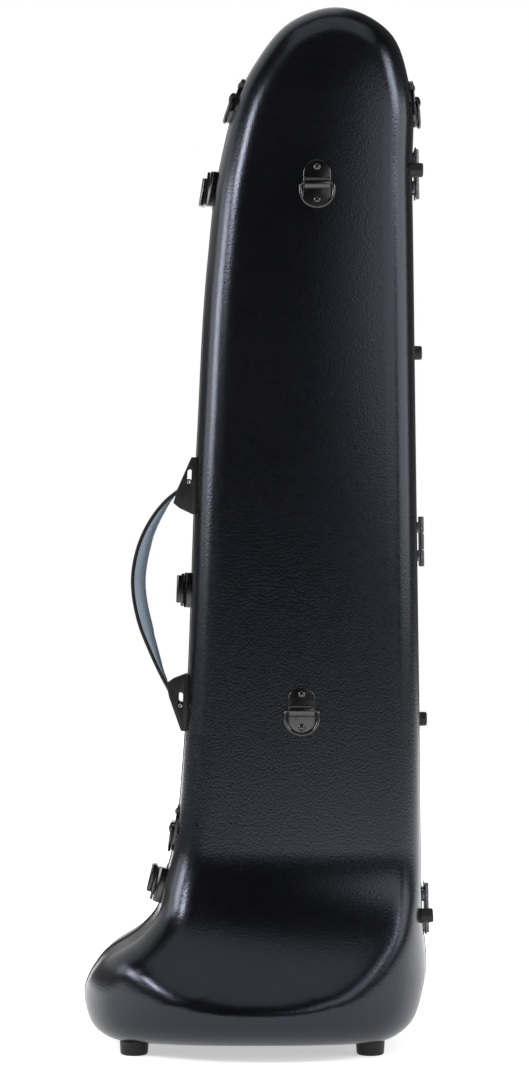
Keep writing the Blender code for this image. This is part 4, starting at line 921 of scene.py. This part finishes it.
handle = {
    "heightShare": 0.4299, "depth": 0.0215, "seat": 0.0010, "pinSpread": 0.1020, "pinX": 0.0046,
    "pin": 0.0019, "eye": 0.0031, "reach": 0.0526, "travel": 0.010, "strapWidth": 0.0240,
    "strap": 0.0030, "strapEdge": 0.0008, "gripWidth": 0.0270, "tongueWidth": 0.0215, "grip": 0.0098,
    "gripFullness": 0.8, "tongueShare": 0.4, "cheek": 0.0024, "cheekEdge": 0.0006, "sideGap": 0.0004,
    "floor": 0.0010, "floorSunk": 0.0028, "floorEdge": 0.0004, "bracketLength": 0.0520,
    "bracketReach": 0.0180, "slotClearance": 0.00035, "screwRadius": 0.00273, "screwHeight": 0.0011,
    "boreShare": 0.55, "rollShare": 0.2, "strapSteps": 12, "gripSteps": 8, "gripSides": 28,
    "eyeSteps": 36, "slotSteps": 12, "pinSteps": 32,
    # Strap from pin to pin: along as shares of the pin spread, out as shares of the reach
    "strapShares": ((1.0, 0.088), (0.935, 0.235), (0.832, 0.462), (0.555, 0.818), (0.147, 1.0),
                    (-0.254, 0.871), (-0.518, 0.654), (-0.780, 0.388), (-0.925, 0.212), (-1.0, 0.088)),
    # Bracket cheek, from its pin: along as shares of its length, out as shares of its reach
    "bracketShares": ((0.442, 0.02), (0.442, 0.17), (-0.144, 0.84), (-0.375, 1.0), (-0.462, 0.67),
                      (-0.558, 0.02)),
    "screwShares": (0.37, -0.47),
    # Grip thickness along the strap, as shares of the run and of the grip
    "gripShares": ((0.175, 0.04), (0.21, 0.16), (0.26, 0.46), (0.33, 0.74), (0.43, 1.0), (0.54, 0.98),
                   (0.63, 0.72), (0.70, 0.44), (0.755, 0.16), (0.79, 0.04)),
}


def onHandleSide(height):
    return Vector((lineX(handleLine, height), 0.0, height))


upperWall = onHandleSide(heightAt(handle["heightShare"]) + handle["pinSpread"])
lowerWall = onHandleSide(heightAt(handle["heightShare"]) - handle["pinSpread"])
handleUp = (upperWall - lowerWall).normalized()
handleOut = Vector((-handleUp.z, 0.0, handleUp.x))
handleMiddle = (upperWall + lowerWall) / 2 + handleOut * handle["seat"]
handleMiddle.y = -handle["depth"]
# Shapes are drawn in X, out of the wall, and Y, up along it
handleFrame = framed(handleOut, handleUp, handleMiddle) @ Matrix.Rotation(math.pi / 2, 4, "X")


def lineAlong(points, steps):
    # A smooth line that starts and ends along its first and last spans
    start = (points[1] - points[0]).normalized()
    end = (points[-1] - points[-2]).normalized()
    return smoothLine(points, start, end, steps)


def strapLine():
    points = []
    for along, out in handle["strapShares"]:
        reach = handle["pinX"] if abs(along) == 1.0 else out * handle["reach"]
        points.append(Vector((reach, along * handle["pinSpread"])))
    return lineAlong(points, handle["strapSteps"])


strapPoints = strapLine()


def strapNormal(index):
    # Towards the wall side of the strap
    last = len(strapPoints) - 1
    way = strapPoints[min(index + 1, last)] - strapPoints[max(index - 1, 0)]
    normal = Vector((way.y, -way.x)).normalized()
    return -normal if normal.x > 0 else normal


def alongStrap(sections, places):
    # Skins closed sections of (out, across) points, one for each place on the strap
    shape = bmesh.new()
    rows = []
    for (point, normal), section in zip(places, sections):
        rows.append([shape.verts.new((point.x + normal.x * out, point.y + normal.y * out, across))
                     for out, across in section])
    return stitch(shape, rows, capped=True)


def handleStrap():
    half = handle["strap"] / 2
    wide = handle["strapWidth"] / 2
    edge = handle["strapEdge"]
    section = roundedRectangle((-half, -wide), (half, wide), edge, steps=4, first=2)
    places = [(point, strapNormal(i)) for i, point in enumerate(strapPoints)]
    work = alongStrap([section] * len(places), places)
    bore = handle["pin"] + shell["gap"] / 2
    for way in (-1, 1):
        addTo(work, collar(bore, handle["eye"], -wide, wide, edge, handle["eyeSteps"]),
              Matrix.Translation((handle["pinX"], way * handle["pinSpread"], 0)))
    settle("strap_moulding", work, "handle_strap", "black_nylon", handleFrame, "strap")


def handleGrip():
    # A soft pad under the strap, fullest where the fingers lie and drawn out to thin tongues
    run = len(strapPoints) - 1
    near = handle["strap"] / 2 + shell["gap"]
    sections = []
    places = []
    for share in lineAlong([Vector(pair) for pair in handle["gripShares"]], handle["gripSteps"]):
        index = share.x * run
        low = min(int(index), run - 1)
        point = strapPoints[low].lerp(strapPoints[low + 1], index - low)
        places.append((point, strapNormal(low)))
        bulge = share.y * handle["grip"]
        spread = min(share.y / handle["tongueShare"], 1.0)
        half = (handle["tongueWidth"] + (handle["gripWidth"] - handle["tongueWidth"]) * spread) / 2
        section = []
        for step in range(handle["gripSides"] + 1):
            angle = math.pi * step / handle["gripSides"]
            out = near + bulge * math.sin(angle) ** handle["gripFullness"]
            section.append((out, half * math.cos(angle)))
        sections.append(section)
    settle("grip_moulding", alongStrap(sections, places), "handle_grip", "grey_grip", handleFrame, "moulded")


def handleBracket(way, node):
    # Two cheeks with a slot each, on a floor that two screws hold
    work = bmesh.new()
    spread = handle["pinSpread"]
    length = handle["bracketLength"]
    cheek = [(out * handle["bracketReach"], way * (spread + along * length))
             for along, out in handle["bracketShares"]]
    radius = handle["pin"] + handle["slotClearance"]
    pinY = way * spread
    slot = arcPoints((handle["pinX"], pinY + handle["travel"]), radius, 0.0, math.pi, handle["slotSteps"])
    slot += arcPoints((handle["pinX"], pinY), radius, math.pi, math.pi, handle["slotSteps"])
    middle = handle["strapWidth"] / 2 + handle["sideGap"] + handle["cheek"] / 2
    width = middle + handle["cheek"] / 2
    for face in (-1, 1):
        low = face * middle - handle["cheek"] / 2
        addTo(work, prism(cheek, low, low + handle["cheek"], handle["cheekEdge"], edgeSteps=3, holes=[slot]))
    ends = sorted((cheek[0][1], cheek[-1][1]))
    floor = rectangle((-handle["floorSunk"], ends[0]), (shell["gap"] + handle["floor"], ends[1]))
    addTo(work, prism(floor, -width, width, handle["floorEdge"]))
    for along in handle["screwShares"]:
        seat = (handle["floor"], way * (spread + along * length), 0.0)
        addTo(work, screwHead(handle["screwRadius"], handle["screwHeight"]), outAt(seat))
    settle(f"{node}_moulding", work, node, "black_nylon", handleFrame)


def handlePin(way, node):
    # A tube with rolled ends, which catches the light at both cheeks
    half = handle["strapWidth"] / 2 + handle["sideGap"] + handle["cheek"]
    pin = handle["pin"]
    bore = pin * handle["boreShare"]
    roll = pin * handle["rollShare"]
    ring = [(bore, -half + roll), (bore + roll, -half), (pin - roll, -half), (pin, -half + roll),
            (pin, half - roll), (pin - roll, half), (bore + roll, half), (bore, half - roll)]
    place = handleFrame @ Matrix.Translation((handle["pinX"], way * handle["pinSpread"], 0.0))
    settle(f"{node}_turned", turned(ring + ring[:1], handle["pinSteps"]), node, "nickel_steel", place)


handleStrap()
handleGrip()
for way, label in ((1, "upper"), (-1, "lower")):
    handleBracket(way, f"handle_bracket_{label}")
    handlePin(way, f"handle_pin_{label}")
print("handle made")


# D-rings on bridged plates

dee = {
    "width": 0.0250, "length": 0.0430, "plate": 0.0020, "edge": 0.0007, "rivetSpread": 0.0148,
    "bridgeLength": 0.0104, "bridgeHeight": 0.0068, "bridgeShare": 0.92, "bridgeFoot": 0.0005,
    "bridgeEdge": 0.0005, "wire": 0.0015, "barClearance": 0.00035, "halfWidth": 0.0150, "drop": 0.0215,
    "corner": 0.0028, "sideY": 0.0200, "rivetRadius": 0.0033, "rivetHeight": 0.0018, "rivetSunk": 0.0001,
    "sunk": 0.0020, "plateSteps": 24, "crownSteps": 12, "cornerSteps": 6, "bowSteps": 36,
    "faceShares": ((0.172, 0.8241), (0.1274, 0.3192)), "handleSideShares": (0.9092, 0.2028),
    "hingeSideShare": 0.9063,
}
barHeight = dee["plate"] + shell["gap"] + dee["wire"]


def faceFrame(x, z):
    # X points out of the back panel and Z up along it
    step = dee["length"] / 2
    across = Vector((2 * step, panelDepth(x - step, z) - panelDepth(x + step, z), 0.0))
    up = Vector((0.0, panelDepth(x, z - step) - panelDepth(x, z + step), 2 * step)).normalized()
    out = across.cross(up).normalized()
    if out.y > 0:
        out = -out
    return framed(out, up, Vector((x, -panelDepth(x, z), z)))


def deePlate():
    work = bmesh.new()
    half = dee["width"] / 2
    run = dee["length"] / 2 - half
    plate = arcPoints((0.0, run), half, 0.0, math.pi, dee["plateSteps"])
    plate += arcPoints((0.0, -run), half, math.pi, math.pi, dee["plateSteps"])
    addTo(work, prism(plate, -dee["sunk"], dee["plate"], dee["edge"], edgeSteps=3), plateTurn)
    # The bridge is a rolled strap: straight sides under a round crown
    reach = dee["bridgeLength"] / 2
    rise = dee["bridgeHeight"] - barHeight
    saddle = [(dee["bridgeFoot"], -reach), (barHeight, -reach)]
    for step in range(1, dee["crownSteps"]):
        angle = -math.pi / 2 + math.pi * step / dee["crownSteps"]
        saddle.append((barHeight + rise * math.cos(angle), reach * math.sin(angle)))
    saddle += [(barHeight, reach), (dee["bridgeFoot"], reach)]
    bore = arcPoints((barHeight, 0.0), dee["wire"] + dee["barClearance"], steps=dee["plateSteps"])
    wide = dee["width"] * dee["bridgeShare"] / 2
    bridge = prism(saddle, -wide, wide, dee["bridgeEdge"], holes=[bore])
    addTo(work, bridge, Matrix.Rotation(math.pi / 2, 4, "X"))
    for way in (-1, 1):
        seat = (dee["plate"] - dee["rivetSunk"], 0.0, way * dee["rivetSpread"])
        addTo(work, rivetHead(dee["rivetRadius"], dee["rivetHeight"]), outAt(seat))
    return work


def deeRing():
    # One round wire: a bar through the bridge and a half round that hangs from it
    bow = dee["halfWidth"]
    corner = dee["corner"]
    straight = dee["drop"] - bow
    flat = [(y, 0.0) for y in (-bow / 2, 0.0, bow / 2)]
    flat += arcPoints((bow - corner, -corner), corner, math.pi / 2, -math.pi / 2, dee["cornerSteps"])
    flat += [(y, z - straight) for y, z in arcPoints((0.0, 0.0), bow, 0.0, -math.pi, dee["bowSteps"])]
    flat += arcPoints((-bow + corner, -corner), corner, math.pi, -math.pi / 2, dee["cornerSteps"])
    return wireLoop([(0.0, y, z) for y, z in flat], dee["wire"])


deePlaces = {}
for label, (across, up) in zip(("upper", "lower"), dee["faceShares"]):
    deePlaces[f"face_{label}"] = faceFrame(across * shell["width"], heightAt(up))
for label, up in zip(("upper", "lower"), dee["handleSideShares"]):
    deePlaces[f"handle_side_{label}"] = wallFrame(handleLine, -1, heightAt(up), -dee["sideY"])
deePlaces["hinge_side"] = wallFrame(hingeLine, 1, heightAt(dee["hingeSideShare"]), -dee["sideY"])
for label, place in deePlaces.items():
    node = f"dee_plate_{label}"
    settle(f"{node}_stamping", deePlate(), node, "blackened_steel", place)
    node = f"dee_ring_{label}"
    settle(f"{node}_wire", deeRing(), node, "blackened_steel",
           place @ Matrix.Translation((barHeight, 0.0, 0.0)))
print("D-rings made")


# Rubber feet

feet = {
    "height": 0.010, "radius": 0.0125, "edge": 0.0022, "acrossShares": (-0.3583, 0.3265), "depth": 0.060,
    "sideRadius": 0.0065, "sideLength": 0.0095, "sideEdge": 0.0016, "sideDepth": 0.032,
    "sideShares": {"back": (0.8408, 0.1184), "lid": (0.6677, 0.305)}, "sunk": 0.0028, "flare": 1.04,
    "wellShare": 0.42, "wellFloorShare": 0.8, "wellDepth": 0.0022, "screwShare": 0.72,
    "screwHeightShare": 0.5, "steps": 48, "edgeSteps": 6,
}


def foot(radius, length, edge, place, node):
    # A moulded foot with a countersunk screw in its middle
    well = radius * feet["wellShare"]
    wellFloor = length - feet["wellDepth"]
    skirt = radius * feet["flare"]
    profile = [(0.0, wellFloor), (well * feet["wellFloorShare"], wellFloor), (well, length)]
    profile += roundedEnd(radius, length, edge, feet["edgeSteps"])[1:]
    profile += [(skirt, 0.0), (skirt, -feet["sunk"]), (0.0, -feet["sunk"])]
    settle(f"{node}_moulding", turned(profile, feet["steps"]), node, "black_rubber", place)
    screw = screwHead(well * feet["screwShare"], feet["wellDepth"] * feet["screwHeightShare"])
    settle(f"{node}_screw", screw, node, "nickel_steel", place @ Matrix.Translation((0, 0, wellFloor)))


for side, label in halves:
    for part, across in zip(("handle_side", "hinge_side"), feet["acrossShares"]):
        seat = Vector((across * shell["width"], side * feet["depth"], feet["height"]))
        foot(feet["radius"], feet["height"], feet["edge"],
             Matrix.Translation(seat) @ Matrix.Rotation(math.pi, 4, "X"), f"base_foot_{label}_{part}")
    for part, up in zip(("upper", "lower"), feet["sideShares"][label]):
        place = wallFrame(hingeLine, 1, heightAt(up), side * feet["sideDepth"]) @ toOut
        foot(feet["sideRadius"], feet["sideLength"], feet["sideEdge"], place, f"side_foot_{label}_{part}")
print("feet made")


# Studio: pale floor, soft boxes and the camera of the photograph

studio = {
    "floor": "#f2f2f3", "floorFibre": "#f6f6f7", "fibreMm": 3, "floorSize": 9.0, "floorRoughness": 0.9,
    "floorSpecular": 0.1, "shadowStart": 0.25, "shadowReach": 0.9, "nearGlow": 0.50,
    "sweep": "#ffffff", "roomLevel": 0.004, "openLevel": 0.55, "flagLevel": 0.12,
    "aimHeight": 0.45, "cameraDistance": 2.8, "cameraX": 0.0061, "cameraZ": 0.469,
    "imageHeightMm": 987.9, "sensorMm": 24.0, "farthest": 50.0,
}
# Start and end of each fade in the direction looked in: Y for the sweep, X for both flags, Z for the low one
fades = {"sweep": (0.0, 0.28), "flag": (0.02, 0.22), "aside": (-0.02, -0.22), "low": (0.30, 0.08)}
# Softboxes: middle, size across and up, watts
softboxes = {
    "left_bank": ((-1.95, -0.1, 0.95), (1.2, 0.9), 9),
    "left_key": ((-1.95, -0.62, 1.0), (0.6, 0.6), 15),
    "left_glint": ((-1.55, -1.31, 1.39), (0.45, 0.45), 20),
    "right_bank": ((2.05, -0.28, 0.9), (1.5, 0.95), 14),
    "right_key": ((1.75, -1.00, 1.45), (0.7, 0.6), 16),
    "front_right": ((1.4, -1.95, 1.0), (1.6, 0.8), 9),
    "front_fill": ((0.58, -2.45, 0.93), (0.55, 0.45), 0.55),
    "overhead": ((0.0, -0.98, 2.5), (2.4, 1.6), 12.5),
}


def makeFloor():
    material, tree, shader, place = newMaterial("matte_paper_sweep", {
        "Roughness": studio["floorRoughness"], "Specular IOR Level": studio["floorSpecular"]})
    fibre = addNode(tree, "ShaderNodeTexNoise", {"Scale": perMm(studio["fibreMm"]), "Detail": 2.0},
                    {"Vector": place})
    tone = addNode(tree, "ShaderNodeMix", {
        "data_type": "RGBA", 6: srgb(studio["floor"]), 7: srgb(studio["floorFibre"])},
        {"Factor": fibre.outputs["Fac"]})
    tree.links.new(tone.outputs[2], shader.inputs["Base Color"])
    white = addNode(tree, "ShaderNodeEmission")
    rays = addNode(tree, "ShaderNodeLightPath")
    seen = addNode(tree, "ShaderNodeMath", {"operation": "MAXIMUM"},
                   {0: rays.outputs["Is Camera Ray"], 1: rays.outputs["Is Glossy Ray"]})
    far = addNode(tree, "ShaderNodeVectorMath", {"operation": "LENGTH"}, {0: place})
    fade = addNode(tree, "ShaderNodeMapRange", {
        "interpolation_type": "SMOOTHSTEP", "From Min": studio["shadowStart"],
        "From Max": studio["shadowReach"]}, {"Value": far.outputs["Value"]})
    # Close to the case the white glow, which only the camera and reflections see, is weaker, so the sheet
    # keeps the shadow
    glow = addNode(tree, "ShaderNodeMapRange", {"To Min": studio["nearGlow"]},
                   {"Value": fade.outputs["Result"]})
    level = addNode(tree, "ShaderNodeMath", {"operation": "MULTIPLY"},
                    {0: seen.outputs["Value"], 1: glow.outputs["Result"]})
    tree.links.new(level.outputs["Value"], white.inputs["Strength"])
    both = addNode(tree, "ShaderNodeAddShader", {}, {0: shader.outputs["BSDF"], 1: white.outputs["Emission"]})
    tree.links.new(both.outputs["Shader"], tree.nodes["Material Output"].inputs["Surface"])
    half = studio["floorSize"] / 2
    corners = [(x, y, 0) for x, y in rectangle((-half, -half), (half, half))]
    mesh = bpy.data.meshes.new("floor")
    mesh.from_pydata(corners, [], [(0, 1, 2, 3)])
    mesh.materials.append(material)
    floor = bpy.data.objects.new("floor", mesh)
    bpy.context.scene.collection.objects.link(floor)


def makeWorld():
    world = bpy.data.worlds.new("studio")
    world.use_nodes = True
    tree = world.node_tree
    backdrop = tree.nodes["Background"]
    backdrop.inputs["Color"].default_value = srgb(studio["sweep"])
    way = addNode(tree, "ShaderNodeTexCoord").outputs["Generated"]
    parts = addNode(tree, "ShaderNodeSeparateXYZ", {}, {0: way})
    # The white sweep hangs behind the object, and the room behind the camera is dark
    faded = {}
    for name, axis in (("sweep", "Y"), ("flag", "X"), ("aside", "X"), ("low", "Z")):
        start, end = fades[name]
        ramp = addNode(tree, "ShaderNodeMapRange", {
            "interpolation_type": "SMOOTHSTEP", "From Min": start, "From Max": end},
            {"Value": parts.outputs[axis]})
        faded[name] = ramp.outputs["Result"]
    # Black flags before it keep the object's edges dark: one on the hinge side, a low one on the other
    corner = addNode(tree, "ShaderNodeMath", {"operation": "MULTIPLY"}, {0: faded["aside"], 1: faded["low"]})
    white = faded["sweep"]
    for blocked in (faded["flag"], corner.outputs["Value"]):
        flag = addNode(tree, "ShaderNodeMapRange", {"To Min": 1.0, "To Max": studio["flagLevel"]},
                       {"Value": blocked})
        left = addNode(tree, "ShaderNodeMath", {"operation": "MULTIPLY"},
                       {0: white, 1: flag.outputs["Result"]})
        white = left.outputs["Value"]
    rays = addNode(tree, "ShaderNodeLightPath")
    mirrored = addNode(tree, "ShaderNodeMath", {"operation": "MAXIMUM"},
                       {0: rays.outputs["Is Glossy Ray"], 1: rays.outputs["Is Transmission Ray"]})
    behind = addNode(tree, "ShaderNodeMath", {"operation": "MULTIPLY"},
                     {0: mirrored.outputs["Value"], 1: white})
    seen = addNode(tree, "ShaderNodeMath", {"operation": "MAXIMUM"},
                   {0: rays.outputs["Is Camera Ray"], 1: behind.outputs["Value"]})
    # Rays that are neither seen nor mirrored carry an even, plain light that colours are read by
    even = addNode(tree, "ShaderNodeMapRange", {"To Min": studio["openLevel"], "To Max": studio["roomLevel"]},
                   {"Value": mirrored.outputs["Value"]})
    level = addNode(tree, "ShaderNodeMapRange", {"To Max": 1.0},
                    {"Value": seen.outputs["Value"], "To Min": even.outputs["Result"]})
    tree.links.new(level.outputs["Result"], backdrop.inputs["Strength"])
    world.cycles.sampling_method = "NONE"
    bpy.context.scene.world = world


def makeSoftbox(name, middle, size, power):
    light = bpy.data.lights.new(name, "AREA")
    light.shape = "RECTANGLE"
    light.size, light.size_y = size
    light.energy = power
    lamp = bpy.data.objects.new(name, light)
    lamp.location = middle
    aim = Vector((0.0, 0.0, studio["aimHeight"])) - Vector(middle)
    lamp.rotation_euler = aim.to_track_quat("-Z", "Y").to_euler()
    bpy.context.scene.collection.objects.link(lamp)


def makeCamera():
    data = bpy.data.cameras.new("camera")
    data.sensor_fit = "VERTICAL"
    data.sensor_height = studio["sensorMm"]
    data.lens = data.sensor_height * studio["cameraDistance"] * 1000 / studio["imageHeightMm"]
    data.clip_end = studio["farthest"]
    camera = bpy.data.objects.new("camera", data)
    camera.location = (studio["cameraX"], -studio["cameraDistance"], studio["cameraZ"])
    camera.rotation_euler = (math.pi / 2, 0.0, 0.0)
    bpy.context.scene.collection.objects.link(camera)
    bpy.context.scene.camera = camera


makeFloor()
makeWorld()
for name, (middle, size, power) in softboxes.items():
    makeSoftbox(name, middle, size, power)
makeCamera()
bpy.context.scene.view_settings.view_transform = "Standard"
print("studio made")

bpy.context.view_layer.update()
